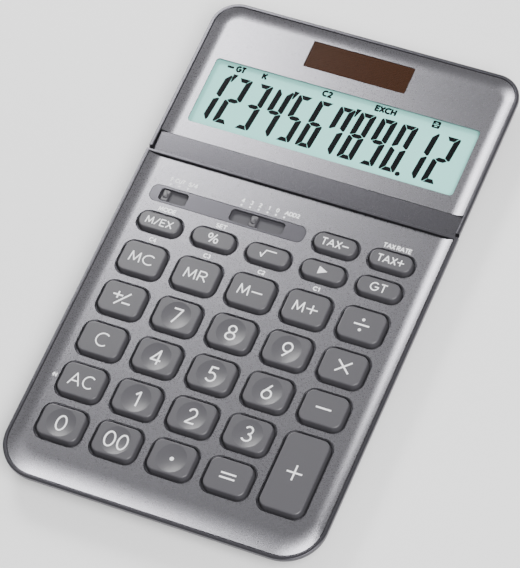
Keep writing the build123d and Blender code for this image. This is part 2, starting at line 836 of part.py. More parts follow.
# Hinge pins, pressed into the lugs; their outer ends turn stiffly in the nose of the display half
pocket_half_width = lug_width / 2 + lug_side_gap
with BuildPart() as hinge_pins:
    for side in (-1, 1):
        with BuildSketch(Plane.YZ.offset(side * (lug_x - lug_width / 2))):
            with Locations((axis_y, axis_z)):
                Circle(pin_radius)
        extrude(amount=side * (lug_width + lug_side_gap + pin_engagement))
finish(hinge_pins, "hinge_pins")

# Ribbon cable across the hinge, lying on both boards
with BuildPart() as ribbon_cable:
    ribbon_front_y = board_rear_y - ribbon_overlap
    ribbon_rear_y = display_board_front_y + ribbon_overlap
    with BuildSketch(Plane.XY.offset(board_top_z)):
        with Locations((0, (ribbon_front_y + ribbon_rear_y) / 2)):
            Rectangle(ribbon_width, ribbon_rear_y - ribbon_front_y)
    extrude(amount=ribbon_thickness)
finish(ribbon_cable, "ribbon_cable")

# Display panel: a dished metal sheet that bends down to the seam, with two windows
display_face_room = display_dish(0)
display_sheet_room = display_dish(panel_thickness)
front_room = band_room(0)
sheet_front_room = band_room(panel_thickness)
seat_front_room = band_room(panel_thickness + glue_thickness)
display_seat_room = display_dish(panel_thickness + glue_thickness)
envelope = swing_envelope()
with BuildPart() as sheet_space:
    add(display_sheet_room)
    add(sheet_front_room)
with BuildPart() as display_panel:
    with BuildSketch(Plane.XY.offset(web_z)):
        add(display_outline(panel_inset, 0))
    extrude(amount=rim_z + dish_depth - web_z)
    add(sheet_space.part, mode=Mode.INTERSECT)
    add(display_face_room, mode=Mode.SUBTRACT)
    add(front_room, mode=Mode.SUBTRACT)
    with BuildSketch(Plane.XY.offset(panel_z)):
        with Locations((window_x, window_y)):
            RectangleRounded(window_width, window_height, window_radius)
        with Locations((solar_x, solar_y)):
            Rectangle(solar_width, solar_height)
    extrude(amount=dish_depth + panel_thickness, mode=Mode.SUBTRACT)
finish(display_panel, "display_panel")

# Display front case: rim, web with the two window seats, hinge nose and screw bosses
display_skirt_inset = lower_inset(web_z) + wall + skirt_clearance
nose_z = axis_z - nose_radius
nose_half_width = half_width - display_side_step - lower_inset(nose_z) - wall - nose_side_gap
window_plate_z = seat_z - window_plate_thickness
solar_cell_z = seat_z - solar_cell_thickness
reach = 2 * nose_radius
opening_angle = radians(tilt_range + tilt_spare)
with BuildPart() as display_front_case:
    with BuildSketch(Plane.XY.offset(parting_z)):
        add(display_outline(0, 0))
    extrude(amount=rim_height)
    rim_edges = display_front_case.faces().sort_by(Axis.Z)[-1].edges().sort_by(Axis.Y)[1:]
    chamfer(rim_edges, length=rim_chamfer)
    with BuildSketch(Plane.XY.offset(web_z)):
        add(display_outline(display_skirt_inset, wall + skirt_clearance))
    extrude(amount=parting_z - web_z)
    with BuildSketch(Plane.YZ.offset(-nose_half_width)):
        with Locations((axis_y, axis_z)):
            Circle(nose_radius)
        with Locations(((axis_y + display_front_y + nose_depth) / 2, (nose_z + web_z) / 2)):
            Rectangle(nose_depth - nose_radius, web_z - nose_z)
        with Locations(((display_front_y + axis_y) / 2, (axis_z + web_z) / 2)):
            Rectangle(nose_radius, web_z - axis_z)
    extrude(amount=2 * nose_half_width)
    add(display_seat_room, mode=Mode.SUBTRACT)
    add(seat_front_room, mode=Mode.SUBTRACT)
    add(envelope, mode=Mode.INTERSECT)
    with BuildSketch(Plane.XY.offset(boss_z)):
        small_round(boss_radius, display_screw_places)
    extrude(amount=web_z - boss_z)
    with BuildSketch(Plane.XY.offset(web_z)):
        with Locations((window_x, window_y)):
            Rectangle(window_width, window_height)
    extrude(amount=web_thickness, mode=Mode.SUBTRACT)
    with BuildSketch(Plane.XY.offset(window_plate_z)):
        with Locations((window_x, window_y)):
            Rectangle(window_width + 2 * window_ledge, window_height + 2 * window_ledge)
    extrude(amount=window_plate_thickness, mode=Mode.SUBTRACT)
    with BuildSketch(Plane.XY.offset(web_z)):
        with Locations((solar_x, solar_y)):
            Rectangle(solar_width + 2 * solar_cell_margin, solar_height + 2 * solar_cell_margin)
    extrude(amount=web_thickness, mode=Mode.SUBTRACT)
    with BuildSketch(Plane.XY.offset(boss_z)):
        small_round(screw_radius + thread_clearance, display_screw_places)
    extrude(amount=screw_depth, mode=Mode.SUBTRACT)
    for side in (-1, 1):
        with BuildSketch(Plane.YZ.offset(side * lug_x - pocket_half_width)):
            with Locations((axis_y, axis_z)):
                RegularPolygon(lug_radius + lug_clearance, lug_sides)
            with BuildLine():
                Polyline(
                    (axis_y, axis_z),
                    (axis_y - reach * cos(opening_angle), axis_z + reach * sin(opening_angle)),
                    (axis_y - reach, axis_z - reach),
                    (axis_y + lug_radius + lug_clearance, axis_z - reach),
                    (axis_y + lug_radius + lug_clearance, axis_z),
                    close=True,
                )
            make_face()
        extrude(amount=2 * pocket_half_width, mode=Mode.SUBTRACT)
        with BuildSketch(Plane.YZ.offset(side * lug_x)):
            with Locations((axis_y, axis_z)):
                Circle(pin_radius + pin_running_clearance)
        bore_length = pocket_half_width + pin_engagement + fit_gap
        extrude(amount=side * bore_length, mode=Mode.SUBTRACT)
    with BuildSketch(Plane.YZ.offset(-ribbon_width / 2 - ribbon_gap)):
        with Locations((axis_y, nose_z)):
            Rectangle(2 * nose_depth, 2 * (board_top_z + ribbon_thickness + ribbon_gap - nose_z))
    extrude(amount=ribbon_width + 2 * ribbon_gap, mode=Mode.SUBTRACT)
finish(display_front_case, "display_front_case")

# Display back case: the tapered tub behind, notched in front for the hinge nose
display_shell = tapered_block(
    display_tub_outline(lower_inset(case_z), 0), case_z, lower_top_z, display_front_y, Keep.BOTTOM
)
display_cavity = tapered_block(
    display_tub_outline(lower_inset(floor_z) + wall, wall),
    floor_z,
    lower_top_z,
    display_front_y + wall,
    Keep.BOTTOM,
)
with BuildPart() as display_back_case:
    add(display_shell)
    add(display_cavity, mode=Mode.SUBTRACT)
    add(envelope, mode=Mode.INTERSECT)
    add(seat_front_room, mode=Mode.SUBTRACT)
    with BuildSketch(Plane.XY.offset(floor_z)):
        rib_length = display_length - display_rib_front_margin - display_rib_rear_margin
        for x in (-rib_x, 0, rib_x):
            with Locations((x, display_front_y + display_rib_front_margin + rib_length / 2)):
                Rectangle(rib_width, rib_length)
    extrude(amount=post_height)
    with BuildSketch(Plane.XY.offset(floor_z)):
        small_round(seat_radius, display_screw_places)
    extrude(amount=screw_seat_height)
    with BuildSketch(Plane.XY.offset(nose_z - fit_gap)):
        with Locations((0, display_front_y)):
            Rectangle(2 * (nose_half_width + nose_side_gap), 2 * wall + 2 * fit_gap)
    extrude(amount=lower_top_z - nose_z + fit_gap, mode=Mode.SUBTRACT)
    with BuildSketch(Plane.XY.offset(case_z)):
        with Locations(*display_foot_places):
            Rectangle(foot_width + 2 * foot_gap, foot_length + 2 * foot_gap)
    extrude(amount=foot_sink, mode=Mode.SUBTRACT)
    with BuildSketch(Plane.XY.offset(case_z)):
        small_round(screw_head_radius + screw_head_gap, display_screw_places)
    extrude(amount=head_room + screw_head_gap, mode=Mode.SUBTRACT)
    with BuildSketch(Plane.XY.offset(case_z)):
        small_round(screw_radius + screw_head_gap, display_screw_places)
    extrude(amount=floor_thickness + screw_seat_height, mode=Mode.SUBTRACT)
finish(display_back_case, "display_back_case")

# Display window plate on its ledge, under the panel
with BuildPart() as display_window:
    with BuildSketch(Plane.XY.offset(window_plate_z)):
        with Locations((window_x, window_y)):
            Rectangle(
                window_width + 2 * (window_ledge - fit_gap), window_height + 2 * (window_ledge - fit_gap)
            )
    extrude(amount=window_plate_thickness)
finish(display_window, "display_window")

# Liquid crystal glass below the web, and its reflector
glass_top_z = web_z - glass_gap
glass_z = glass_top_z - glass_thickness
glass_width = window_width + 2 * glass_margin_x
glass_height = window_height + 2 * glass_margin_y
with BuildPart() as lcd_glass:
    with BuildSketch(Plane.XY.offset(glass_z)):
        with Locations((window_x, window_y)):
            Rectangle(glass_width, glass_height)
    extrude(amount=glass_thickness)
finish(lcd_glass, "lcd_glass")

with BuildPart() as lcd_reflector:
    with BuildSketch(Plane.XY.offset(glass_z - reflector_thickness)):
        with Locations((window_x, window_y - zebra_width / 2)):
            Rectangle(glass_width - 2 * reflector_margin, glass_height - 2 * reflector_margin - zebra_width)
    extrude(amount=reflector_thickness)
finish(lcd_reflector, "lcd_reflector")

# Elastomer connector between the glass and the display board
zebra_y = window_y + glass_height / 2 - zebra_width / 2
with BuildPart() as zebra_connector:
    with BuildSketch(Plane.XY.offset(board_top_z)):
        with Locations((window_x, zebra_y)):
            Rectangle(window_width * zebra_share_of_width, zebra_width)
    extrude(amount=glass_z - board_top_z)
finish(zebra_connector, "zebra_connector")

# Display circuit board, lying on its posts
with BuildPart() as display_board:
    with BuildSketch(Plane.XY.offset(board_z)):
        with Locations((0, (display_board_front_y + display_board_rear_y) / 2)):
            Rectangle(2 * display_board_half_width, display_board_rear_y - display_board_front_y)
        small_round(boss_radius + screw_head_gap, display_screw_places, Mode.SUBTRACT)
    extrude(amount=board_thickness)
finish(display_board, "display_board")

# Solar cell in its seat and the tinted window over it, flush with the face
with BuildPart() as solar_cell:
    with BuildSketch(Plane.XY.offset(solar_cell_z)):
        with Locations((solar_x, solar_y)):
            Rectangle(
                solar_width + 2 * (solar_cell_margin - fit_gap),
                solar_height + 2 * (solar_cell_margin - fit_gap),
            )
    extrude(amount=solar_cell_thickness)
finish(solar_cell, "solar_cell")

with BuildPart() as solar_window:
    with BuildSketch(Plane.XY.offset(seat_z)):
        with Locations((solar_x, solar_y)):
            Rectangle(solar_width - 2 * fit_gap, solar_height - 2 * fit_gap)
    extrude(amount=panel_thickness)
finish(solar_window, "solar_window")
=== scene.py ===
"""A desktop calculator with a tilting display, thirty-one sprung keys and two slide switches.
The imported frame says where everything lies; the visible pieces are modelled over it here.
Lengths are metres; +X runs right along a row of keys, +Y away from the user, +Z up."""

import math

import bmesh
import bpy
from mathutils import Matrix, Vector


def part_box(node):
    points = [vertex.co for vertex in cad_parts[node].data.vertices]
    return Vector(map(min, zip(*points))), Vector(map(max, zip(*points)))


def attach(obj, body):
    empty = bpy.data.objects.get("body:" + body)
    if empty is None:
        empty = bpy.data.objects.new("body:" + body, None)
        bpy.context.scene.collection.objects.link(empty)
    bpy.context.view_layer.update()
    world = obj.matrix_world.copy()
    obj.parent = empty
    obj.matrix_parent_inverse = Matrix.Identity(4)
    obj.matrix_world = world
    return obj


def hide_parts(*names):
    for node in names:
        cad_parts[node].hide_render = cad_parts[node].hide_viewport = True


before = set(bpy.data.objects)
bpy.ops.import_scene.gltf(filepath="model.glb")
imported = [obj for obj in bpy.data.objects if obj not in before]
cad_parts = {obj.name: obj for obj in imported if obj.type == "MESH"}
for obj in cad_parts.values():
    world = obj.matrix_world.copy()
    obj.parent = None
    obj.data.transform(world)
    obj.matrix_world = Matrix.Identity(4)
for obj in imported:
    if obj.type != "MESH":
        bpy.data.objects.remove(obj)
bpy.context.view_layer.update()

bl_info = {
    "name": "Desktop calculator",
    "version": (1, 0, 0),
    "blender": (4, 5, 0),
    "location": "3D View > Sidebar > Calculator",
    "description": "Models a desktop calculator over its packed frame",
    "category": "Object",
}

MM = 0.001
FINE = 1e-6  # heights closer than this count as the same
CORNER = math.radians(35)  # an edge that bends more than this is a corner
FLOOR_CORNER = math.radians(10)  # the same for the edges round a tub's bottom
SMOOTH = math.radians(30)  # faces that meet at less than this are shaded as one
LIFT = 0.02 * MM  # what is printed or shown lies this far above its ground
INK = 0.012 * MM  # thickness of ink
SKIRT = 1.2 * MM  # the web's edge lies this far inside the rim's
STRIP_LIP = 1 * MM  # the switch strip's flange stands out this far under the face
STRIP_GAP = 0.1 * MM  # gap round the strip in the face
key_nodes = sorted(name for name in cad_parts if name.startswith("key_"))
dimpled = ["key_0", "key_00", "key_point"] + [f"key_{digit}" for digit in range(1, 10)]


def linear(code):
    """The linear colour of an sRGB hex code."""
    shares = [int(code[place : place + 2], 16) / 255 for place in (0, 2, 4)]
    return [s / 12.92 if s <= 0.04045 else ((s + 0.055) / 1.055) ** 2.4 for s in shares] + [1.0]


def length(name, description, millimetres):
    """A length of a property group."""
    return bpy.props.FloatProperty(
        name=name, description=description, default=millimetres * MM, unit="LENGTH", precision=5
    )


def colour(name, description, code):
    """A colour of a property group."""
    return bpy.props.FloatVectorProperty(
        name=name,
        description=description,
        default=linear(code),
        size=4,
        subtype="COLOR",
        min=0,
        max=1,
    )


class CalculatorCaseSizes(bpy.types.PropertyGroup):
    """Sizes of the two cases and their dished metal faces."""

    half_width: length("Half width", "Middle to the side of the keyboard half", 54.5)
    half_length: length("Half length", "Middle to the front, and to the rear", 91.75)
    front_radius: length("Front corner radius", "Corners of the keyboard half", 13.5)
    rear_radius: length("Rear corner radius", "Corners of the display half", 9.0)
    seam: length("Seam", "Rear face of the keyboard half", 30.4)
    seam_gap: length("Seam gap", "Gap between the two halves", 0.2)
    side_step: length("Side step", "The display half is this much narrower on each side", 0.2)
    rim: length("Rim width", "Case rim round the metal faces", 1.3)
    rear_rim: length("Rear rim width", "Rim of the keyboard half along the seam", 1.0)
    rim_top: length("Rim top", "Height of the rim above the desk", 10.3)
    rim_foot: length("Rim foot", "Height at which the rim meets the lower case", 8.8)
    rim_round: length("Rim round", "Rounding of the rim's edges", 0.3)
    face: length("Face", "Height of the flat metal faces", 9.3)
    sheet: length("Sheet", "Thickness of the metal faces", 0.5)
    sheet_gap: length("Sheet gap", "Groove between a metal face and its rim", 0.15)
    sheet_step: length("Sheet step", "The sheet's edge lies this far under the rim", 0.1)
    side_run: length("Side run", "Width over which a face curves up at its sides", 4.5)
    front_run: length("Front run", "The same at the front", 8.0)
    ledge: length("Window ledge", "How far the display face covers the window's edge", 0.65)
    window_radius: length("Window corners", "Corners of the opening over the window", 1.2)
    pane_gap: length("Pane gap", "Gap round the solar cell's window and the boards", 0.15)
    pane_radius: length("Pane corners", "Corners of the solar cell's window", 0.3)
    crease: length("Crease", "Where the display face bends down to the seam", 38.3)
    band_fall: length("Band fall", "How far it falls by the seam", 0.4)
    band_round: length("Band round", "Rounding of the band's long edges", 0.12)
    web_foot: length("Web foot", "Underside of the web that holds the keys down", 7.8)
    tub_foot: length("Tub foot", "Bottom of the lower cases", 0.8)
    tub_top: length("Tub top", "Top of the lower cases", 8.7)
    reveal: length("Reveal", "The lower case starts this far inside the rim", 0.3)
    under: length("Under inset", "It ends this far inside the rim at its bottom", 5.5)
    wall: length("Wall", "Thickness of the lower cases", 1.5)
    floor_round: length("Floor round", "Rounding between the walls and the bottom", 1.6)
    axis_y: length("Hinge axis", "How far back the hinge axis lies", 32.3)
    axis_z: length("Hinge height", "Height of the hinge axis", 7.05)
    nose: length("Nose radius", "Round front of the display half at the hinge", 1.7)
    lug: length("Lug radius", "Round end of the hinge lugs", 0.9)
    lug_x: length("Lug place", "Middle of the case to the middle of a lug", 38.0)
    lug_width: length("Lug width", "Width of a hinge lug", 6.0)
    tilt: bpy.props.FloatProperty(
        name="Tilt",
        description="How far the display leans back",
        default=math.radians(20),
        unit="ROTATION",
    )


class CalculatorKeySizes(bpy.types.PropertyGroup):
    """Sizes of the keys, of their collars and of the slide switches."""

    width: length("Width", "Width of a key cap at its foot", 15.0)
    radius: length("Corner radius", "Corners of a key cap at its foot", 3.1)
    lip: length("Flange lip", "How far the flange stands out round the cap", 0.7)
    flange: length("Flange", "Thickness of the flange", 0.6)
    slope: length("Slope", "How far the sides lean in over the cap's height", 0.46)
    edge: length("Edge round", "Rounding of the cap's top edge", 0.42)
    dimple: length("Dimple radius", "Radius of the finger dimple", 4.9)
    dimple_depth: length("Dimple depth", "Depth of the finger dimple", 0.5)
    collar_inside: length("Collar gap", "Collar's inner edge from the cap's foot", 0.34)
    collar: length("Collar width", "Width of the collar round a key", 0.28)
    groove: length("Groove", "Gap between the collar and the sheet", 0.18)
    collar_sink: length("Collar sink", "The collar lies this far below the face", 0.1)
    strip_radius: length("Strip radius", "Corners of the switch strip", 2.3)
    strip_sink: length("Strip sink", "The strip lies this far below the face", 0.03)
    slot_radius: length("Slot radius", "Corners of the switch slots", 1.3)
    slot_height: length("Slot height", "Front to rear size of the switch slots", 4.65)
    slot_depth: length("Slot depth", "Depth of the switch slots", 1.4)


class CalculatorDisplaySizes(bpy.types.PropertyGroup):
    """Sizes and places of the digits on the display."""

    first_digit: length("First digit", "Middle of the leftmost digit", -42.95)
    pitch: length("Digit pitch", "From one digit to the next", 7.346)
    digit_y: length("Digit row", "Middle of the digits, front to rear", 56.75)
    digit_height: length("Digit height", "Height of the digits", 18.4)
    digit_width: length("Digit width", "Width of the digits", 5.5)
    upright: length("Upright segments", "Thickness of the upright segments", 1.95)
    bar: length("Level segments", "Thickness of the level segments", 1.6)
    words_y: length("Words row", "Middle of the small words", 68.85)
    shift_x: length("Words shift", "Moves the small words sideways", -0.6)
    slant: bpy.props.FloatProperty(
        name="Slant",
        description="Sideways lean of the digits over their height",
        default=0.094,
        subtype="FACTOR",
    )


class CalculatorColours(bpy.types.PropertyGroup):
    """Colours of the calculator's finishes."""

    sheet: colour("Metal faces", "Dished metal faces", "7d7c81")
    # Painted shade: the band has the metal faces' own finish, darker here for its slope
    band: colour("Band", "Sloping band in front of the display", "5c5b60")
    rim: colour("Rims", "Painted rims and collars", "4d4c51")
    tub: colour("Lower cases", "Moulded lower cases", "505054")
    keys: colour("Keys", "Moulded key caps", "4a494d")
    printing: colour("Print", "Legends on keys and faces", "f4f4f6")
    glass: colour("Display ground", "Ground of the display", "a4f0e6")
    solar: colour("Solar cell", "Dark cell behind its window", "46291f")
    desk: colour("Desk", "Plain pale desk", "fcfcfc")


def stand_still():
    """Leaves edit mode with nothing selected."""
    if bpy.context.mode != "OBJECT":
        bpy.ops.object.mode_set(mode="OBJECT")
    bpy.ops.object.select_all(action="DESELECT")


def take(*pieces):
    """Selects pieces alone; the first one is active."""
    stand_still()
    for piece in pieces:
        piece.select_set(True)
    bpy.context.view_layer.objects.active = pieces[0]


def edit(piece):
    """Opens a piece in edit mode."""
    take(piece)
    bpy.ops.object.mode_set(mode="EDIT")


def middle(part):
    """The middle of a vertex, an edge or a face."""
    if isinstance(part, bmesh.types.BMVert):
        return part.co
    return sum((corner.co for corner in part.verts), Vector()) / len(part.verts)


def pick(kind, test):
    """Selects, in edit mode, what passes a test of its middle and of itself."""
    bpy.ops.mesh.select_mode(type=kind)
    bpy.ops.mesh.select_all(action="DESELECT")
    mesh = bmesh.from_edit_mesh(bpy.context.edit_object.data)
    for part in {"VERT": mesh.verts, "EDGE": mesh.edges, "FACE": mesh.faces}[kind]:
        if test(middle(part), part):
            part.select_set(True)
    mesh.select_flush_mode()
    bmesh.update_edit_mesh(bpy.context.edit_object.data)


def at_height(z):
    """A test for what lies level at a height."""
    return lambda place, part: abs(place.z - z) < FINE


def sharp(edge, least=CORNER):
    """Whether an edge is a corner between two faces."""
    return len(edge.link_faces) == 2 and edge.calc_face_angle() > least


def corners_at(z):
    """A test for the corner edges that lie level at a height."""
    return lambda place, part: abs(place.z - z) < FINE and sharp(part)


def plate(name, x, y, z):
    """A flat upward face between two x, between two y, at one height."""
    stand_still()
    bpy.ops.mesh.primitive_plane_add(size=1, location=((x[0] + x[1]) / 2, (y[0] + y[1]) / 2, z))
    piece = bpy.context.object
    piece.name = name
    piece.scale = (x[1] - x[0], y[1] - y[0], 1)
    bpy.ops.object.transform_apply(location=True, rotation=False, scale=True)
    return piece


def round_corners(piece, radius, segments, test=lambda place, part: True):
    """Rounds the corners of a flat face and leaves the piece in edit mode with the face picked."""
    edit(piece)
    pick("VERT", test)
    bpy.ops.mesh.bevel(affect="VERTICES", offset=radius, segments=segments, clamp_overlap=False)
    bpy.ops.mesh.select_mode(type="FACE")
    bpy.ops.mesh.select_all(action="SELECT")


def raise_face(amount):
    """Extrudes the picked face upwards."""
    bpy.ops.mesh.extrude_region_move(TRANSFORM_OT_translate={"value": (0, 0, amount)})


def inset(width, depth=0.0):
    """Insets the picked face, and lifts it along its normal."""
    bpy.ops.mesh.inset(thickness=width, depth=depth, use_even_offset=True)


def soften(width, segments, test):
    """Rounds the picked edges."""
    pick("EDGE", test)
    bpy.ops.mesh.bevel(affect="EDGES", offset=width, segments=segments, clamp_overlap=True)


def cut_off(place, outward, fill=True):
    """Cuts all that lies beyond a plane off the piece in edit mode."""
    bpy.ops.mesh.select_mode(type="FACE")
    bpy.ops.mesh.select_all(action="SELECT")
    bpy.ops.mesh.bisect(
        plane_co=place, plane_no=outward, clear_outer=True, use_fill=fill, threshold=1e-7
    )


def face_outwards():
    """Turns all faces of the piece in edit mode outwards."""
    bpy.ops.mesh.select_all(action="SELECT")
    bpy.ops.mesh.normals_make_consistent(inside=False)


def rounded_block(name, place, size, radius, low, high, segments=8):
    """A block with round upright corners, round a place, between two heights."""
    x, y = ((place[axis] - size[axis] / 2, place[axis] + size[axis] / 2) for axis in (0, 1))
    piece = plate(name, x, y, low)
    if radius:
        round_corners(piece, radius, segments)
    else:
        edit(piece)
        bpy.ops.mesh.select_all(action="SELECT")
    raise_face(high - low)
    face_outwards()
    stand_still()
    return piece


def applied(name):
    """Names the new primitive and moves its place and turn into its mesh."""
    piece = bpy.context.object
    piece.name = name
    bpy.ops.object.transform_apply(location=True, rotation=True, scale=True)
    return piece


def turned(name, centre, radius, low, high, sides=32):
    """A round pin or head between two heights."""
    stand_still()
    place = (centre[0], centre[1], (low + high) / 2)
    bpy.ops.mesh.primitive_cylinder_add(
        vertices=sides, radius=radius, depth=high - low, location=place
    )
    return applied(name)


def copied(piece, name, offset=(0, 0, 0)):
    """A copy with its own mesh, moved by an offset."""
    twin = piece.copy()
    twin.data = piece.data.copy()
    twin.name = name
    bpy.context.scene.collection.objects.link(twin)
    take(twin)
    bpy.ops.transform.translate(value=offset)
    bpy.ops.object.transform_apply(location=True, rotation=False, scale=False)
    return twin


def join(pieces):
    """Makes one piece of several."""
    take(*pieces)
    if len(pieces) > 1:
        bpy.ops.object.join()
    return pieces[0]


def modify(piece, kind, **settings):
    """Applies one modifier to a piece."""
    take(piece)
    modifier = piece.modifiers.new(kind, kind)
    for name, value in settings.items():
        setattr(modifier, name, value)
    bpy.ops.object.modifier_apply(modifier=modifier.name)


def carve(piece, *cutters):
    """Takes cutters out of a piece."""
    cutter = join(cutters)
    modify(piece, "BOOLEAN", object=cutter, operation="DIFFERENCE", solver="EXACT")
    bpy.data.objects.remove(cutter)


def thicken(piece, amount):
    """Gives a surface thickness on its rear side."""
    modify(piece, "SOLIDIFY", thickness=amount, offset=-1, use_even_offset=True)


def dress(piece, body, slot, *coats):
    """Smooths a finished piece, gives it its finishes and ties it to its body."""
    take(piece)
    bpy.ops.object.shade_smooth_by_angle(angle=SMOOTH)
    modify(piece, "WEIGHTED_NORMAL", keep_sharp=True)
    piece.data.materials.clear()
    for coat in coats:
        piece.data.materials.append(coat)
    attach(piece, body)
    stand_still()
    return piece


def node_place(name):
    """Middle of a node in plan, and its size."""
    low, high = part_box(name)
    return (low + high) / 2, high - low


# Finishes --------------------


def add_node(tree, kind, **sockets):
    """Adds a node; each socket, with _ for a space, takes a value or another node's output."""
    node = tree.nodes.new(kind)
    for name, value in sockets.items():
        socket = node.inputs[name.replace("_", " ")]
        if isinstance(value, bpy.types.NodeSocket):
            tree.links.new(value, socket)
        else:
            socket.default_value = value
    return node


def grained(name, tint, spread, grain, roughness, bump, metallic=0.0, swing=0.06, **shader):
    """A finish with a fine grain: the grain varies its colour and roughness and lifts its surface.
    The grain is the size of one spot, the spread the share by which the colour varies."""
    if name in bpy.data.materials:
        return bpy.data.materials[name]
    finish = bpy.data.materials.new(name)
    finish.use_nodes = True
    tree = finish.node_tree
    tree.nodes.clear()
    where = add_node(tree, "ShaderNodeTexCoord").outputs["Object"]
    spots = add_node(
        tree, "ShaderNodeTexNoise", Vector=where, Scale=1 / (grain * MM), Detail=3.0, Roughness=0.6
    ).outputs["Fac"]
    hue = add_node(tree, "ShaderNodeValToRGB", Fac=spots)
    for stop, position, way in zip(hue.color_ramp.elements, (0.3, 0.7), (-1, 1)):
        stop.position = position
        stop.color = [min(share * (1 + way * spread), 1) for share in tint[:3]] + [1]
    low, high = roughness - swing, roughness + swing
    gloss = add_node(tree, "ShaderNodeMapRange", Value=spots, To_Min=low, To_Max=high)
    relief = add_node(tree, "ShaderNodeBump", Height=spots, Distance=bump * MM, Strength=1.0)
    surface = add_node(
        tree,
        "ShaderNodeBsdfPrincipled",
        Base_Color=hue.outputs["Color"],
        Roughness=gloss.outputs["Result"],
        Normal=relief.outputs["Normal"],
        Metallic=metallic,
        **shader,
    )
    add_node(tree, "ShaderNodeOutputMaterial", Surface=surface.outputs["BSDF"])
    return finish


def finishes():
    """Every finish of the calculator, by its everyday name."""
    tints = bpy.context.scene.calculator_colours
    matt = {"Specular_IOR_Level": 0.1}
    anodised = {"metallic": 0.92, "swing": 0.03}
    return {
        # Fine-blasted and anodised aluminium: a satin sparkle, its grain drawn at 0.35 mm to show
        "sheet": grained("Anodised aluminium", tints.sheet, 0.14, 0.35, 0.28, 0.005, **anodised),
        # The sloping band: the same finish in a darker grey, painted shade for its slope down to
        # the seam
        "band": grained("Anodised aluminium, painted band shade", tints.band, 0.14, 0.35, 0.28, 0.005, **anodised),
        # The same grey sprayed on ABS: metal flakes in lacquer, a little smoother
        "rim": grained("Metallic lacquer", tints.rim, 0.08, 0.2, 0.3, 0.004, metallic=0.85),
        # Spark-eroded ABS: an even matt grain of about 0.4 mm
        "tub": grained("Textured ABS", tints.tub, 0.06, 0.4, 0.5, 0.012, metallic=0.35),
        # Keys moulded with a satin skin that shows a soft gloss at its edges
        "keys": grained("Satin ABS key", tints.keys, 0.03, 0.3, 0.34, 0.003),
        # Screen-printed white ink: flat and matt beside the satin keys
        "print": grained("Printing ink", tints.printing, 0.02, 0.2, 0.5, 0.002),
        # Polarising film over the liquid crystal: matt against glare, so it shows little gloss
        "glass": grained("Polarising film", tints.glass, 0.015, 0.6, 0.6, 0.0, **matt),
        # Liquid crystal that lets no light through: near black and matt
        "segments": grained(
            "Darkened liquid crystal", linear("06070a"), 0.1, 0.5, 0.6, 0.0, **matt
        ),
        # Amorphous silicon behind its glass: brown and slightly mottled
        "solar": grained("Amorphous silicon", tints.solar, 0.25, 0.5, 0.4, 0.0, **matt),
        # Clear acrylic with an anti-glare coat: nearly unseen
        "window": grained(
            "Clear acrylic", linear("0c0e0e"), 0.0, 1.0, 0.25, 0.0, swing=0.01, Alpha=0.03, **matt
        ),
        # The same, tinted, over the solar cell
        "tinted": grained(
            "Tinted acrylic", linear("4a3020"), 0.05, 1.0, 0.25, 0.0, swing=0.02, Alpha=0.4, **matt
        ),
        # The slots' walls and floors: matt, in a darker grey that is painted shade of the recesses
        "slot": grained("Matt ABS, painted slot shade", linear("3f3e43"), 0.05, 0.3, 0.55, 0.004),
        # Black rubber: dull, with a fine skin that takes the light away
        "rubber": grained("Black rubber", linear("1d1d20"), 0.12, 0.5, 0.75, 0.02),
        # Silicone of the key mat: soft grey and faintly dusty
        "mat": grained("Grey silicone", linear("8d8e90"), 0.06, 0.6, 0.6, 0.01),
        # Green solder mask: glossy, in an uneven green
        "board": grained("Solder mask", linear("1f5a38"), 0.2, 0.5, 0.35, 0.006),
        # Polyimide film: amber and glossy
        "ribbon": grained("Polyimide film", linear("b8792c"), 0.12, 0.7, 0.3, 0.004),
        # Silver film behind the liquid crystal, faintly brushed
        "reflector": grained("Silver film", linear("c9cccd"), 0.06, 0.4, 0.3, 0.003, metallic=0.9),
        # Zinc-plated steel: a bright, cool grey with faint specks
        "steel": grained(
            "Zinc-plated steel", linear("b9babd"), 0.08, 0.3, 0.32, 0.004, metallic=1.0
        ),
    }


# Metal faces --------------------


def dished_face(name, sizes, half, closed, open_end, radius, end_run):
    """A metal face: flat, and curved up to its rim at both sides and at its closed end."""
    way = 1 if closed > open_end else -1
    rings = 7
    rise = sizes.rim_top - sizes.sheet_step - sizes.face
    spare = 2 * sizes.side_run
    piece = plate(name, (-half, half), sorted((closed, open_end - way * spare)), sizes.face + rise)
    centre = (closed + open_end) / 2
    round_corners(piece, radius, 14, lambda place, part: way * place.y > way * centre)
    for ring in range(rings):
        share = 1 - ring / rings
        inner = 1 - (ring + 1) / rings
        level = sizes.face + rise * inner**2
        inset(sizes.side_run / rings, rise * (inner**2 - share**2))
        pick(
            "VERT",
            lambda place, part: way * place.y > way * centre and abs(place.z - level) < FINE,
        )
        bpy.ops.transform.translate(value=(0, -way * (end_run - sizes.side_run) / rings, 0))
        pick("FACE", at_height(level))
    cut_off((0, open_end, 0), (0, -way, 0), fill=False)
    return piece


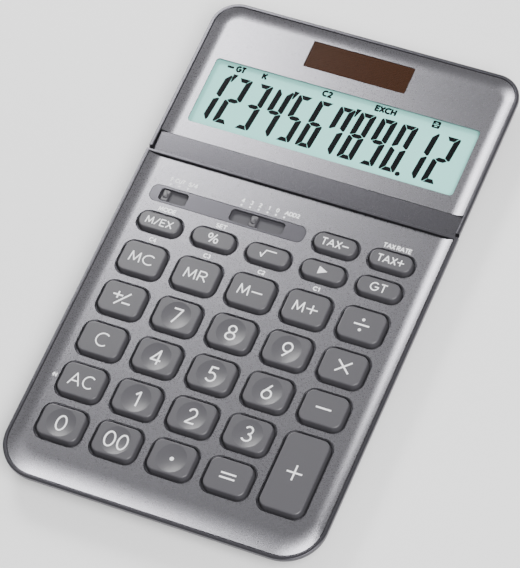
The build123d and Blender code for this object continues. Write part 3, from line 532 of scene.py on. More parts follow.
class CALCULATOR_OT_faces(bpy.types.Operator):
    """Model the two dished metal faces with their openings"""

    bl_idname = "calculator.faces"
    bl_label = "Metal faces"

    def execute(self, context):
        sizes = context.scene.calculator_case
        keys = context.scene.calculator_keys
        edge = sizes.rim + sizes.sheet_gap
        base = dished_face(
            "keyboard_face",
            sizes,
            sizes.half_width - edge,
            -sizes.half_length + edge,
            sizes.seam - sizes.rear_rim - sizes.sheet_gap,
            sizes.front_radius - edge,
            sizes.front_run,
        )
        thicken(base, sizes.sheet)
        carve(base, *opening_blocks(context, keys.collar_inside + keys.collar + keys.groove))
        dress(base, "base", "dished_metal", finishes()["sheet"])
        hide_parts("keyboard_panel")

        front = sizes.seam + sizes.seam_gap
        half = sizes.half_width - sizes.side_step - edge
        display = dished_face(
            "display_face",
            sizes,
            half,
            sizes.half_length - edge,
            front,
            sizes.rear_radius - edge,
            sizes.side_run,
        )
        # The sheet ends at the crease: the band in front of it is a piece of its own
        cut_off((0, sizes.crease, 0), (0, -1, 0), fill=False)
        thicken(display, sizes.sheet)
        heights = (sizes.web_foot, sizes.rim_top)
        carve(
            display,
            node_block("display_window", -2 * sizes.ledge, sizes.window_radius, *heights),
            node_block("solar_window", 2 * sizes.pane_gap, sizes.pane_radius, *heights, 3),
        )
        dress(display, "display", "dished_metal", finishes()["sheet"])
        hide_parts("display_panel")

        span = (front, sizes.crease - sizes.band_round)
        band = plate("display_band", (-half, half), span, sizes.face)
        edit(band)
        pick("VERT", lambda place, part: place.y < front + FINE)
        bpy.ops.transform.translate(value=(0, 0, -sizes.band_fall))
        thicken(band, sizes.sheet)
        edit(band)
        soften(
            sizes.band_round, 2, lambda place, part: sharp(part) and part.calc_length() > 20 * MM
        )
        # The band takes the darker copy of the face's finish: painted shade of its slope
        dress(band, "display", "dished_metal", finishes()["band"])
        return {"FINISHED"}


def node_block(node, spare, radius, low, high, segments=8):
    """A cutter as large in plan as a node and this much more, between two heights."""
    centre, size = node_place(node)
    size = (size.x + spare, size.y + spare)
    return rounded_block("cutter", centre, size, radius, low, high, segments)


def opening_blocks(context, clearance):
    """A cutter for every key and for the switch strip, this much larger than each cap's foot."""
    sizes = context.scene.calculator_case
    keys = context.scene.calculator_keys
    blocks = []
    low, high = sizes.web_foot - MM, sizes.rim_top
    for name in key_nodes:
        centre, size = node_place(name)
        foot = (keys.width + 2 * clearance, size.y - 2 * keys.lip + 2 * clearance)
        blocks.append(rounded_block("cutter", centre, foot, keys.radius + clearance, low, high))
    spare = 2 * STRIP_GAP - 2 * STRIP_LIP
    blocks.append(node_block("switch_strip", spare, keys.strip_radius + STRIP_GAP, low, high))
    return blocks


# Cases --------------------


def top_case(name, sizes, half, closed, open_end, radius, spare, seat):
    """A rim round a tray sunk to a seat, and the narrower web below it, in edit mode."""
    way = 1 if closed > open_end else -1
    far_end = open_end - way * spare
    piece = plate(name, (-half, half), sorted((closed, far_end)), sizes.rim_foot)
    centre = (closed + open_end) / 2
    round_corners(piece, radius, 16, lambda place, part: way * place.y > way * centre)
    raise_face(sizes.rim_top - sizes.rim_foot)
    pick("FACE", at_height(sizes.rim_top))
    inset(sizes.rim)
    if not spare:
        pick(
            "VERT",
            lambda place, part: abs(place.z - sizes.rim_top) < FINE
            and abs(place.y - (open_end + way * sizes.rim)) < FINE,
        )
        bpy.ops.transform.translate(value=(0, -way * (sizes.rim - sizes.rear_rim), 0))
        pick(
            "FACE",
            lambda place, part: abs(place.z - sizes.rim_top) < FINE and len(part.verts) > 8,
        )
    raise_face(seat - sizes.rim_top)
    pick(
        "FACE",
        lambda place, part: abs(place.z - sizes.rim_foot) < FINE and abs(part.normal.z) > 0.9,
    )
    inset(SKIRT)
    raise_face(sizes.web_foot - sizes.rim_foot)
    face_outwards()
    return piece


class CALCULATOR_OT_cases(bpy.types.Operator):
    """Model the rims, the webs below them and the tapered lower cases"""

    bl_idname = "calculator.cases"
    bl_label = "Cases"

    def execute(self, context):
        sizes = context.scene.calculator_case
        finish = finishes()
        seat = sizes.face - sizes.sheet - 0.1 * MM

        base = top_case(
            "keyboard_rim",
            sizes,
            sizes.half_width,
            -sizes.half_length,
            sizes.seam,
            sizes.front_radius,
            0,
            seat,
        )
        soften(sizes.rim_round, 3, corners_at(sizes.rim_top))
        carve(base, *opening_blocks(context, 0.2 * MM), seam_rebate(sizes))
        dress(base, "base", "silver_case", finish["rim"])
        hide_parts("base_upper_case")

        front = sizes.seam + sizes.seam_gap
        display = top_case(
            "display_rim",
            sizes,
            sizes.half_width - sizes.side_step,
            sizes.half_length,
            front,
            sizes.rear_radius,
            6 * MM,
            seat - sizes.band_fall,
        )
        carve(display, self.seam_wedge(sizes))
        edit(display)
        face_outwards()
        clear_of_seam = front + sizes.rim_top - sizes.tub_foot
        soften(
            sizes.rim_round,
            3,
            lambda place, part: abs(place.z - sizes.rim_top) < FINE
            and place.y > clear_of_seam
            and sharp(part),
        )
        spare, low = 2 * sizes.pane_gap, sizes.web_foot - MM
        windows = ("display_window", "solar_cell")
        carve(display, *(node_block(node, spare, 0, low, sizes.rim_top) for node in windows))
        carve(display, *lug_pockets(sizes))
        dress(display, "display", "silver_case", finish["rim"])
        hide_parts("display_front_case")

        self.lower_case(context, "keyboard_tub", "base", "base_lower_case", -1)
        self.lower_case(context, "display_tub", "display", "display_back_case", 1)

        lugs = []
        for x in (-sizes.lug_x, sizes.lug_x):
            stand_still()
            bpy.ops.mesh.primitive_cylinder_add(
                vertices=32,
                radius=sizes.lug,
                depth=sizes.lug_width,
                location=(x, sizes.axis_y, sizes.axis_z),
                rotation=(0, math.pi / 2, 0),
            )
            knuckle = applied("knuckle")
            edit(knuckle)
            soften(0.15 * MM, 2, lambda place, part: sharp(part))
            arm = rounded_block(
                "arm",
                (x, (sizes.seam + sizes.axis_y) / 2 - 0.2 * MM),
                (sizes.lug_width, sizes.axis_y - sizes.seam + 0.6 * MM),
                0,
                sizes.axis_z - sizes.lug,
                sizes.axis_z + sizes.lug / 2,
            )
            lugs += [knuckle, arm]
        hinge = join(lugs)
        hinge.name = "hinge_lugs"
        dress(hinge, "base", "under_case", finish["tub"])
        return {"FINISHED"}

    def seam_wedge(self, sizes):
        """All that lies in front of the leaning plane on which the display half ends."""
        low, high = -10 * MM, 20 * MM
        _, touch_y, touch_z = seam_touch(sizes)
        rear = [touch_y + (z - touch_z) * math.tan(sizes.tilt) for z in (low, high)]
        depth = 20 * MM
        wedge = rounded_block(
            "cutter", (0, rear[0] - depth / 2), (3 * sizes.half_width, depth), 0, low, high
        )
        edit(wedge)
        pick(
            "VERT",
            lambda place, part: abs(place.y - rear[0]) < FINE and abs(place.z - high) < FINE,
        )
        bpy.ops.transform.translate(value=(0, rear[1] - rear[0], 0))
        stand_still()
        return wedge

    def lower_case(self, context, name, body, replaced, way):
        """One tapered tub: drawn as a solid, hollowed out and opened at its top."""
        sizes = context.scene.calculator_case
        step = 0 if way < 0 else sizes.side_step
        half = sizes.half_width - step - sizes.reveal
        closed = way * (sizes.half_length - sizes.reveal)
        open_end = sizes.seam if way < 0 else sizes.seam + sizes.seam_gap
        radius = (sizes.front_radius if way < 0 else sizes.rear_radius) - sizes.reveal
        spare = 8 * MM
        tub = plate(name, (-half, half), sorted((closed, open_end - way * spare)), sizes.tub_top)
        centre = (closed + open_end) / 2
        round_corners(tub, radius, 12, lambda place, part: way * place.y > way * centre)
        bpy.ops.mesh.flip_normals()
        inset(sizes.under - sizes.reveal, sizes.tub_top - sizes.tub_foot)
        pick("EDGE", lambda place, part: part.is_boundary)
        bpy.ops.mesh.edge_face_add()
        face_outwards()
        cut_off((0, open_end, 0), (0, -way, 0))
        if way > 0:
            cut_off(seam_touch(sizes), (0, -math.cos(sizes.tilt), math.sin(sizes.tilt)))
        soften(
            sizes.floor_round,
            5,
            lambda place, part: abs(place.z - sizes.tub_foot) < FINE
            and abs(place.y - open_end) > FINE
            and sharp(part, FLOOR_CORNER),
        )
        pick("FACE", at_height(sizes.tub_top))
        bpy.ops.mesh.delete(type="FACE")
        thicken(tub, sizes.wall)
        wide = 3 * sizes.half_length
        above = (sizes.tub_top, 2 * sizes.rim_top)
        carve(tub, rounded_block("cutter", (0, 0), (wide, wide), 0, *above))
        hinge = [seam_rebate(sizes)] if way < 0 else lug_pockets(sizes)
        carve(tub, *underside_cutters(body), *hinge)
        dress(tub, body, "under_case", finishes()["tub"])
        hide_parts(replaced)


def seam_touch(sizes):
    """Where the nose of the display half meets the plane on which that half ends."""
    return (
        0,
        sizes.axis_y - sizes.nose * math.cos(sizes.tilt),
        sizes.axis_z + sizes.nose * math.sin(sizes.tilt),
    )


def seam_rebate(sizes):
    """The room under the rear rim that the display face dips into when it tilts."""
    return rounded_block(
        "cutter",
        (0, sizes.seam + 0.5 * MM),
        (2 * (sizes.half_width - sizes.rim), 2 * 1.03 * MM),
        0,
        7.54 * MM,
        9.1 * MM,
    )


def lug_pockets(sizes):
    """The room in the display half for the two hinge lugs."""
    gap = 0.3 * MM
    return [
        rounded_block(
            "cutter",
            (x, sizes.axis_y - 0.4 * MM),
            (sizes.lug_width + 2 * gap, 2 * (sizes.lug + gap) + 2 * MM),
            0,
            sizes.axis_z - sizes.lug - gap,
            sizes.axis_z + sizes.lug + gap,
        )
        for x in (-sizes.lug_x, sizes.lug_x)
    ]


def underside_cutters(body):
    """Recesses for the feet, the screws and the battery cover of one body."""
    low = -MM
    cutters = [
        rounded_block("cutter", centre, (12.2 * MM, 5.2 * MM), 0.3 * MM, low, 1.2 * MM, 3)
        for centre in clusters(f"{body}_feet")
    ]
    for centre in clusters(f"{body}_screws"):
        cutters.append(turned("cutter", centre, 2 * MM, -1.4 * MM, 2 * MM))
    if body == "base":
        cutters.append(node_block("battery_cover", 0.3 * MM, 0.6 * MM, low, 1.65 * MM, 4))
    return cutters


def clusters(name):
    """Middles, in plan, of the separate solids of a node that holds several."""
    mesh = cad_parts[name].data
    places = []
    for corner in mesh.vertices:
        for place in places:
            if abs(corner.co.x - place[0]) < 13 * MM and abs(corner.co.y - place[1]) < 13 * MM:
                place[2].append(corner.co)
                break
        else:
            places.append((corner.co.x, corner.co.y, [corner.co]))
    return [
        (
            (min(c.x for c in found) + max(c.x for c in found)) / 2,
            (min(c.y for c in found) + max(c.y for c in found)) / 2,
        )
        for _, _, found in places
    ]


# Keys --------------------


def key_cap(name, sizes, centre, depth, low, high):
    """One key: a flange, leaning sides and a softly edged top."""
    width = sizes.width + 2 * sizes.lip
    piece = plate(
        name,
        (centre.x - width / 2, centre.x + width / 2),
        (centre.y - depth / 2, centre.y + depth / 2),
        low,
    )
    round_corners(piece, sizes.radius + sizes.lip, 8)
    raise_face(sizes.flange)
    flange_top = low + sizes.flange
    pick("FACE", at_height(flange_top))
    inset(sizes.lip)
    inset(sizes.slope, high - flange_top)
    face_outwards()
    soften(sizes.edge, 5, corners_at(high))
    stand_still()
    return piece


class CALCULATOR_OT_keys(bpy.types.Operator):
    """Model the key caps and the collars round them"""

    bl_idname = "calculator.keys"
    bl_label = "Keys"

    def execute(self, context):
        sizes = context.scene.calculator_keys
        case = context.scene.calculator_case
        finish = finishes()
        caps = {}
        collars = []
        for name in key_nodes:
            centre, size = node_place(name)
            low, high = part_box(name)
            hollow = name in dimpled
            kind = (round(size.y, 4), hollow)
            if kind not in caps:
                cap = key_cap(f"{name}_cap", sizes, centre, size.y, low.z, high.z)
                if hollow:
                    self.dimple(cap, sizes, centre, high.z)
                caps[kind] = (cap, centre)
            else:
                first, first_centre = caps[kind]
                cap = copied(first, f"{name}_cap", centre - first_centre)
            dress(cap, f"{name}_cap", "key_plastic", finish["keys"])
            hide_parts(name)
            collars.append(self.collar(sizes, case, centre, size))
        ring = join(collars)
        ring.name = "key_collars"
        dress(ring, "base", "silver_case", finish["rim"])
        return {"FINISHED"}

    def dimple(self, cap, sizes, centre, top):
        """Presses a shallow finger dimple into a cap."""
        depth = sizes.dimple_depth
        radius = (sizes.dimple**2 + depth**2) / (2 * depth)
        stand_still()
        place = (centre.x, centre.y, top + radius - depth)
        bpy.ops.mesh.primitive_uv_sphere_add(
            segments=64, ring_count=160, radius=radius, location=place
        )
        carve(cap, applied("ball"))

    def collar(self, sizes, case, centre, size):
        """The thin ring round one key."""
        wider = 2 * sizes.collar_inside
        inner = (sizes.width + wider, size.y - 2 * sizes.lip + wider)
        outer = (inner[0] / 2 + sizes.collar, inner[1] / 2 + sizes.collar)
        foot = case.face - case.sheet
        piece = plate(
            "collar",
            (centre.x - outer[0], centre.x + outer[0]),
            (centre.y - outer[1], centre.y + outer[1]),
            foot,
        )
        round_corners(piece, sizes.radius + sizes.collar_inside + sizes.collar, 8)
        inset(sizes.collar)
        bpy.ops.mesh.delete(type="FACE")
        bpy.ops.mesh.select_all(action="SELECT")
        raise_face(case.sheet - sizes.collar_sink)
        face_outwards()
        top = case.face - sizes.collar_sink
        soften(0.12 * MM, 2, corners_at(top))
        stand_still()
        return piece


# Slide switches --------------------


class CALCULATOR_OT_switches(bpy.types.Operator):
    """Model the switch strip with its two slots and the two sliding knobs"""

    bl_idname = "calculator.switches"
    bl_label = "Slide switches"

    def execute(self, context):
        sizes = context.scene.calculator_keys
        case = context.scene.calculator_case
        finish = finishes()
        centre, size = node_place("switch_strip")
        foot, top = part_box("switch_strip")[0].z, case.face - sizes.strip_sink
        body = (size.x - 2 * STRIP_LIP, size.y - 2 * STRIP_LIP)
        strip = rounded_block("slide_strip", centre, body, sizes.strip_radius, foot, top)
        edit(strip)
        soften(0.15 * MM, 2, corners_at(top))
        floor = case.face - sizes.slot_depth
        cutters = []
        for x, width in ((centre.x - 19.1 * MM, 9.8 * MM), (centre.x + 10.4 * MM, 18.9 * MM)):
            slot = (width, sizes.slot_height)
            slit = (width - 1.6 * MM, 1.5 * MM)  # for the knob's stem
            spot = (x, centre.y)
            cutters += [
                rounded_block("cutter", spot, slot, sizes.slot_radius, floor, case.rim_top),
                rounded_block("cutter", spot, slit, 0.3 * MM, foot - MM, floor + FINE, 3),
            ]
        carve(strip, *cutters)
        dress(strip, "base", "strip_plastic", finish["rim"], finish["slot"])
        # Every face more than 0.2 mm below the strip's top, the slots' walls and floors among them,
        # takes the darker finish: painted shade in the recesses
        for part in strip.data.polygons:
            if part.center.z < top - 0.2 * MM:
                part.material_index = 1
        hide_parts("switch_strip")

        for kind in ("rounding", "decimal"):
            node = f"{kind}_slider"
            place = node_place(node)[0]
            low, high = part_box(node)
            shoulder = high.z - 0.5 * MM
            # Each layer: its size, its corners, its two heights, and the rounding of its top
            layers = (
                (2.4, 4.15, 0.5, floor + 0.1 * MM, shoulder, 5, 0.3, 3),
                (1.9, 2.1, 0.9, floor + 0.2 * MM, high.z, 8, 0.5, 5),
                (1.2, 1.3, 0.2, low.z + 0.5 * MM, floor + 0.3 * MM, 3, 0, 0),
                (4.4, 5.0, 0.4, low.z, foot - 0.25 * MM, 3, 0, 0),
            )
            parts = []
            for wide, deep, radius, under, over, segments, rounding, steps in layers:
                size = (wide * MM, deep * MM)
                part = rounded_block("layer", place, size, radius * MM, under, over, segments)
                if rounding:
                    edit(part)
                    soften(rounding * MM, steps, corners_at(over))
                    bpy.ops.object.mode_set(mode="OBJECT")
                parts.append(part)
            knob = join(parts)
            knob.name = f"{node}_knob"
            dress(knob, f"{kind}_switch", "knob_plastic", finish["keys"])
            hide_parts(node)
        return {"FINISHED"}


# Underside --------------------


def screw(name, centre, head, shaft, low, head_high, high):
    """A cross-head screw seen from below: a softened head with its cross, and its shaft."""
    piece = turned(name, centre, head, low, head_high)
    edit(piece)
    soften(0.2 * MM, 3, corners_at(low))
    arms = [
        rounded_block("cutter", centre, size, 0, low - MM, low + 0.55 * (head_high - low))
        for size in ((1.15 * head, 0.24 * head), (0.24 * head, 1.1 * head))
    ]
    carve(piece, arms[0])
    carve(piece, arms[1])
    return join([piece, turned("shaft", centre, shaft, head_high - 0.05 * MM, high, 16)])


class CALCULATOR_OT_underside(bpy.types.Operator):
    """Model the feet, the screws and the battery cover"""

    bl_idname = "calculator.underside"
    bl_label = "Underside"

    def execute(self, context):
        finish = finishes()
        for body in ("base", "display"):
            self.feet(f"{body}_feet", body, finish["rubber"])
            self.screws(f"{body}_screws", body, finish["steel"])
        self.cover(finish)
        return {"FINISHED"}

    def repeated(self, first, places, name):
        """One piece of a form and of its copies at all further places."""
        x, y = places[0]
        others = [copied(first, "copy", (a - x, b - y, 0)) for a, b in places[1:]]
        whole = join([first, *others])
        whole.name = name
        return whole

    def feet(self, node, body, rubber):
        """Low rubber feet with soft edges and a sunk middle."""
        low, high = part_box(node)
        places = clusters(node)
        foot = rounded_block("foot", places[0], (12 * MM, 5 * MM), 1.2 * MM, low.z, high.z, 6)
        edit(foot)
        soften(0.35 * MM, 4, corners_at(low.z))
        pick("FACE", lambda place, part: abs(place.z - low.z) < FINE and part.normal.z < -0.9)
        inset(0.5 * MM)
        inset(0.15 * MM, -0.12 * MM)
        pads = self.repeated(foot, places, f"{node}_pads")
        dress(pads, body, "black_rubber", rubber)
        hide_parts(node)

    def screws(self, node, body, steel):
        """The countersunk screws that hold one case together."""
        low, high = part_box(node)
        places = clusters(node)
        first = screw("screw", places[0], 1.8 * MM, 0.9 * MM, low.z, low.z + 1.1 * MM, high.z)
        whole = self.repeated(first, places, f"{node}_heads")
        dress(whole, body, "steel", steel)
        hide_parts(node)

    def cover(self, finish):
        """The battery cover with its finger ribs, and the screw that holds it."""
        centre, size = node_place("battery_cover")
        low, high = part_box("battery_cover")
        cover = rounded_block("cell_cover", centre, (size.x, size.y), 0.5 * MM, low.z, high.z, 4)
        edit(cover)
        soften(0.15 * MM, 2, corners_at(low.z))
        cutters = []
        for rib in range(4):
            where = (centre.x, low.y + (3.5 + 1.6 * rib) * MM)
            size, deep = (10 * MM, 0.8 * MM), low.z + 0.25 * MM
            cutters.append(rounded_block("cutter", where, size, 0.35 * MM, low.z - MM, deep, 4))
        spot = node_place("battery_cover_screw")[0]
        cutters.append(turned("cutter", spot, 1.8 * MM, low.z - MM, low.z + 0.5 * MM))
        carve(cover, *cutters)
        carve(cover, turned("cutter", spot, 1.0 * MM, low.z - MM, high.z + MM))
        dress(cover, "base", "under_case", finish["tub"])
        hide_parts("battery_cover")
        low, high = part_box("battery_cover_screw")
        pin = screw("cell_cover_screw", spot, 1.6 * MM, 0.8 * MM, low.z, low.z + 0.45 * MM, high.z)
        dress(pin, "base", "steel", finish["steel"])
        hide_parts("battery_cover_screw")


# Printing --------------------


def arc(x, y, across, up, first, last, steps=18):
    """Points along part of an ellipse between two angles in degrees."""
    turns = [math.radians(first + (last - first) * step / steps) for step in range(steps + 1)]
    return [(x + across * math.cos(turn), y + up * math.sin(turn)) for turn in turns]


# Pen strokes of each character, in shares of its height: tuples are sharp, lists are smooth
GLYPHS = {
    "0": [arc(0.3, 0.5, 0.3, 0.5, 90, 450, 32)],
    "1": [((0, 0.79), (0.24, 1), (0.24, 0))],
    "2": [arc(0.31, 0.71, 0.28, 0.29, 165, -45) + [(0.02, 0)], ((0.02, 0), (0.63, 0))],
    "3": [arc(0.28, 0.755, 0.235, 0.245, 155, -90), arc(0.28, 0.255, 0.29, 0.255, 90, -155)],
    "4": [((0.5, 0), (0.5, 1), (0, 0.28), (0.68, 0.28))],
    "5": [((0.54, 1), (0.15, 1), (0.1, 0.56)), arc(0.28, 0.315, 0.29, 0.315, 128, -150)],
    "6": [
        arc(0.3, 0.31, 0.29, 0.31, 0, 360, 28),
        [(0.45, 1), (0.27, 0.76), (0.12, 0.54), (0.03, 0.38)],
    ],
    "7": [((0, 1), (0.6, 1), (0.16, 0))],
    "8": [arc(0.3, 0.76, 0.235, 0.24, 0, 360, 28), arc(0.3, 0.26, 0.29, 0.26, 0, 360, 28)],
    "9": [
        arc(0.3, 0.69, 0.29, 0.31, 0, 360, 28),
        [(0.15, 0), (0.33, 0.24), (0.48, 0.46), (0.57, 0.62)],
    ],
    "A": [((0, 0), (0.44, 1), (0.88, 0)), ((0.15, 0.33), (0.73, 0.33))],
    "C": [arc(0.47, 0.5, 0.47, 0.5, 48, 312, 26)],
    "D": [((0.32, 1), (0, 1), (0, 0), (0.32, 0)), arc(0.32, 0.5, 0.42, 0.5, 90, -90)],
    "E": [((0.5, 1), (0, 1), (0, 0), (0.5, 0)), ((0, 0.52), (0.46, 0.52))],
    "F": [((0.5, 1), (0, 1), (0, 0)), ((0, 0.52), (0.46, 0.52))],
    "G": [arc(0.47, 0.5, 0.47, 0.5, 48, 356, 28), ((0.94, 0.46), (0.54, 0.46))],
    "H": [((0, 0), (0, 1)), ((0.62, 0), (0.62, 1)), ((0, 0.5), (0.62, 0.5))],
    "K": [((0, 0), (0, 1)), ((0.55, 1), (0, 0.42)), ((0.18, 0.6), (0.58, 0))],
    "M": [((0, 0), (0.09, 1), (0.41, 0.12), (0.73, 1), (0.82, 0))],
    "N": [((0, 0), (0, 1), (0.64, 0), (0.64, 1))],
    "O": [arc(0.47, 0.5, 0.47, 0.5, 0, 360, 30)],
    "R": [
        ((0.3, 1), (0, 1), (0, 0)),
        arc(0.3, 0.74, 0.26, 0.26, 90, -90, 14),
        ((0.3, 0.48), (0, 0.48)),
        ((0.28, 0.48), (0.58, 0)),
    ],
    "S": [arc(0.27, 0.75, 0.24, 0.25, 40, 270) + arc(0.27, 0.25, 0.27, 0.25, 90, -145)],
    "T": [((0, 1), (0.64, 1)), ((0.32, 1), (0.32, 0))],
    "U": [[(0, 1)] + arc(0.3, 0.3, 0.3, 0.3, 180, 360) + [(0.6, 1)]],
    "X": [((0, 0), (0.64, 1)), ((0, 1), (0.64, 0))],
    "%": [
        arc(0.2, 0.75, 0.2, 0.25, 0, 360, 20),
        arc(0.96, 0.25, 0.2, 0.25, 0, 360, 20),
        ((0.3, 0), (0.86, 1)),
    ],
    "/": [((0, 0), (0.42, 1))],
    "-": [((0, 0.5), (0.8, 0.5))],
    "+": [((0, 0.5), (0.86, 0.5)), ((0.43, 0.07), (0.43, 0.93))],
    " ": [((0, 0), (0, 0))],
    # Signs that stand alone on their key
    "plus sign": [((0, 0.5), (1, 0.5)), ((0.5, 0), (0.5, 1))],
    "minus sign": [((0, 0.5), (1, 0.5))],
    "times sign": [((0.1, 0.1), (0.9, 0.9)), ((0.1, 0.9), (0.9, 0.1))],
    "equals sign": [((0, 0.66), (1, 0.66)), ((0, 0.34), (1, 0.34))],
    "divide sign": [((0, 0.5), (1, 0.5))],
    "change of sign": [
        ((0, 0.72), (0.48, 0.72)),
        ((0.24, 0.48), (0.24, 0.96)),
        ((0.22, 0), (0.85, 1)),
        ((0.6, 0.2), (1, 0.2)),
    ],
    "root sign": [((0, 0.5), (0.26, 0), (0.6, 1), (1.83, 1))],
}

# Legend of each key: what is written, its height and its width in millimetres
LEGENDS = {
    "key_ac": ("AC", 4.65, 8.4),
    "key_c": ("C", 5.0, 4.2),
    "key_sign": (["change of sign"], 5.2, 7.1),
    "key_plus": (["plus sign"], 5.6, 5.4),
    "key_minus": (["minus sign"], 5.4, 5.4),
    "key_times": (["times sign"], 5.4, 5.4),
    "key_divide": (["divide sign"], 5.4, 5.4),
    "key_equals": (["equals sign"], 5.4, 5.4),
    "key_root": (["root sign"], 3.0, 5.5),
    "key_percent": ("%", 3.5, 3.95),
    "key_mode": ("M/EX", 2.75, 9.4),
    "key_grand_total": ("GT", 3.1, 5.6),
    "key_tax_minus": ("TAX-", 2.75, 9.4),
    "key_tax_plus": ("TAX+", 2.75, 9.2),
    "key_mc": ("MC", 3.85, 8.4),
    "key_mr": ("MR", 3.85, 7.8),
    "key_m_minus": ("M-", 3.85, 8.4),
    "key_m_plus": ("M+", 3.85, 8.4),
    "key_00": ("00", 5.6, 8.1),
    "key_0": ("0", 5.6, 3.65),
    "key_1": ("1", 5.5, 1.8),
    "key_2": ("2", 5.5, 3.5),
    "key_3": ("3", 5.5, 3.45),
    "key_4": ("4", 5.5, 3.8),
    "key_5": ("5", 5.5, 3.5),
    "key_6": ("6", 5.5, 3.6),
    "key_7": ("7", 5.5, 3.4),
    "key_8": ("8", 5.5, 3.6),
    "key_9": ("9", 5.5, 3.6),
}

# Words on the metal face: what is written, the middle in millimetres, the height and the width
FACE_WORDS = [
    ("F", -41.9, 22.1, 1.6, 0.9),
    ("CUT", -39.0, 22.1, 1.6, 3.6),
    ("5/4", -34.4, 22.1, 1.6, 3.4),
    ("4", -16.57, 22.1, 1.6, 1.15),
    ("3", -13.55, 22.1, 1.6, 1.05),
    ("2", -10.54, 22.1, 1.6, 1.1),
    ("1", -7.42, 22.1, 1.6, 0.6),
    ("0", -4.5, 22.1, 1.6, 1.1),
    ("ADD2", 0.6, 22.1, 1.6, 5.2),
    ("MODE", -38.7, 10.9, 1.65, 6.1),
    ("SET", -19.5, 10.9, 1.65, 3.9),
    ("C4", -38.7, -0.65, 1.6, 2.5),
    ("C3", -19.6, -0.65, 1.6, 2.5),
    ("C2", -0.6, -0.65, 1.6, 2.5),
    ("C1", 18.4, -0.65, 1.6, 2.3),
    ("TAX RATE", 37.3, 21.2, 1.75, 9.6),
    ("ON", -49.2, -55.4, 1.5, 3.0),
]
# Middles of the dots above the switch slots, left to right, in millimetres
SWITCH_DOTS = (-41.7, -38.6, -35.6, -16.57, -13.55, -10.54, -7.42, -4.5, -1.59)
DOT_ROW = 20.35


def pen_strokes(words, height, width, pen):
    """Strokes of a line of characters, centred, this high and wide over all; lengths in metres."""
    placed, reach = [], 0.0
    for word in words:
        glyph = GLYPHS[word]
        span = max(x for stroke in glyph for x, y in stroke)
        placed += [[type(stroke), [(x + reach, y) for x, y in stroke]] for stroke in glyph]
        reach += span + (0.35 if word == " " else 0.24)
    reach -= 0.24
    across = (width - pen) / max(reach, 0.01)
    up = height - pen
    return [
        (kind, [((x - reach / 2) * across, (y - 0.5) * up) for x, y in points])
        for kind, points in placed
    ]


def drawn(name, runs, closed=False, **settings):
    """A mesh made from a curve with one line of points for each run, in edit mode."""
    drawing = bpy.data.curves.new(name, "CURVE")
    for setting, value in settings.items():
        setattr(drawing, setting, value)
    for run in runs:
        spline = drawing.splines.new("POLY")
        spline.points.add(len(run) - 1)
        spline.use_cyclic_u = closed
        for point, place in zip(spline.points, run):
            point.co = (*place, 1)
    layer = bpy.data.objects.new(name, drawing)
    bpy.context.scene.collection.objects.link(layer)
    take(layer)
    bpy.ops.object.convert(target="MESH")
    layer = bpy.context.object
    edit(layer)
    return layer


def ink(name, strokes, pen, place, surface=None):
    """Draws pen strokes as a thin layer of ink at a place; on a surface it follows its shape."""
    runs = []
    for kind, points in strokes:
        pieces = [points] if kind is list else zip(points, points[1:])
        runs += [(kind, run) for run in pieces]
    lines = []
    for order, (kind, run) in enumerate(runs):
        if run[0] == run[1]:
            continue
        if kind is tuple:
            along = Vector(run[1]) - Vector(run[0])
            spare = along.normalized() * 0.25 * pen
            ends = (Vector(run[0]) - spare, Vector(run[1]) + spare)
            steps = max(int(along.length / (0.5 * MM)), 1)
            run = [ends[0].lerp(ends[1], step / steps) for step in range(steps + 1)]
        # Lines that cross lie a hair above one another
        lines.append([(x, y, 0.3 * pen * (order % 4)) for x, y in run])
    layer = drawn(
        name, lines, dimensions="3D", bevel_depth=pen / 2, bevel_resolution=1, use_fill_caps=True
    )
    pick("FACE", lambda spot, part: part.normal.z < 0.2)
    bpy.ops.mesh.delete(type="FACE")
    bpy.ops.mesh.select_all(action="SELECT")
    bpy.ops.transform.resize(value=(1, 1, 0.05), center_override=(0, 0, 0))
    bpy.ops.transform.translate(value=place)
    settle(layer, surface)
    return layer


def settle(layer, surface):
    """Lays a flat layer on the surface below it and gives it the thickness of ink."""
    if surface:
        modify(
            layer,
            "SHRINKWRAP",
            target=surface,
            wrap_method="PROJECT",
            use_project_z=True,
            use_negative_direction=True,
            use_positive_direction=True,
            offset=LIFT,
        )
    thicken(layer, INK)


def filled(name, outlines, place, surface=None):
    """Flat filled shapes, drawn as closed outlines, as a thin layer at a place."""
    flat = [[(x, y, 0) for x, y in outline] for outline in outlines]
    layer = drawn(name, flat, closed=True, dimensions="2D", fill_mode="BOTH")
    bpy.ops.mesh.select_all(action="SELECT")
    bpy.ops.transform.translate(value=place)
    mesh = bmesh.from_edit_mesh(layer.data)
    if sum(part.normal.z for part in mesh.faces) < 0:
        bpy.ops.mesh.flip_normals()
    settle(layer, surface)
    return layer


def disc(x, y, radius):
    """Outline of a dot."""
    return arc(x, y, radius, radius, 0, 345, 23)


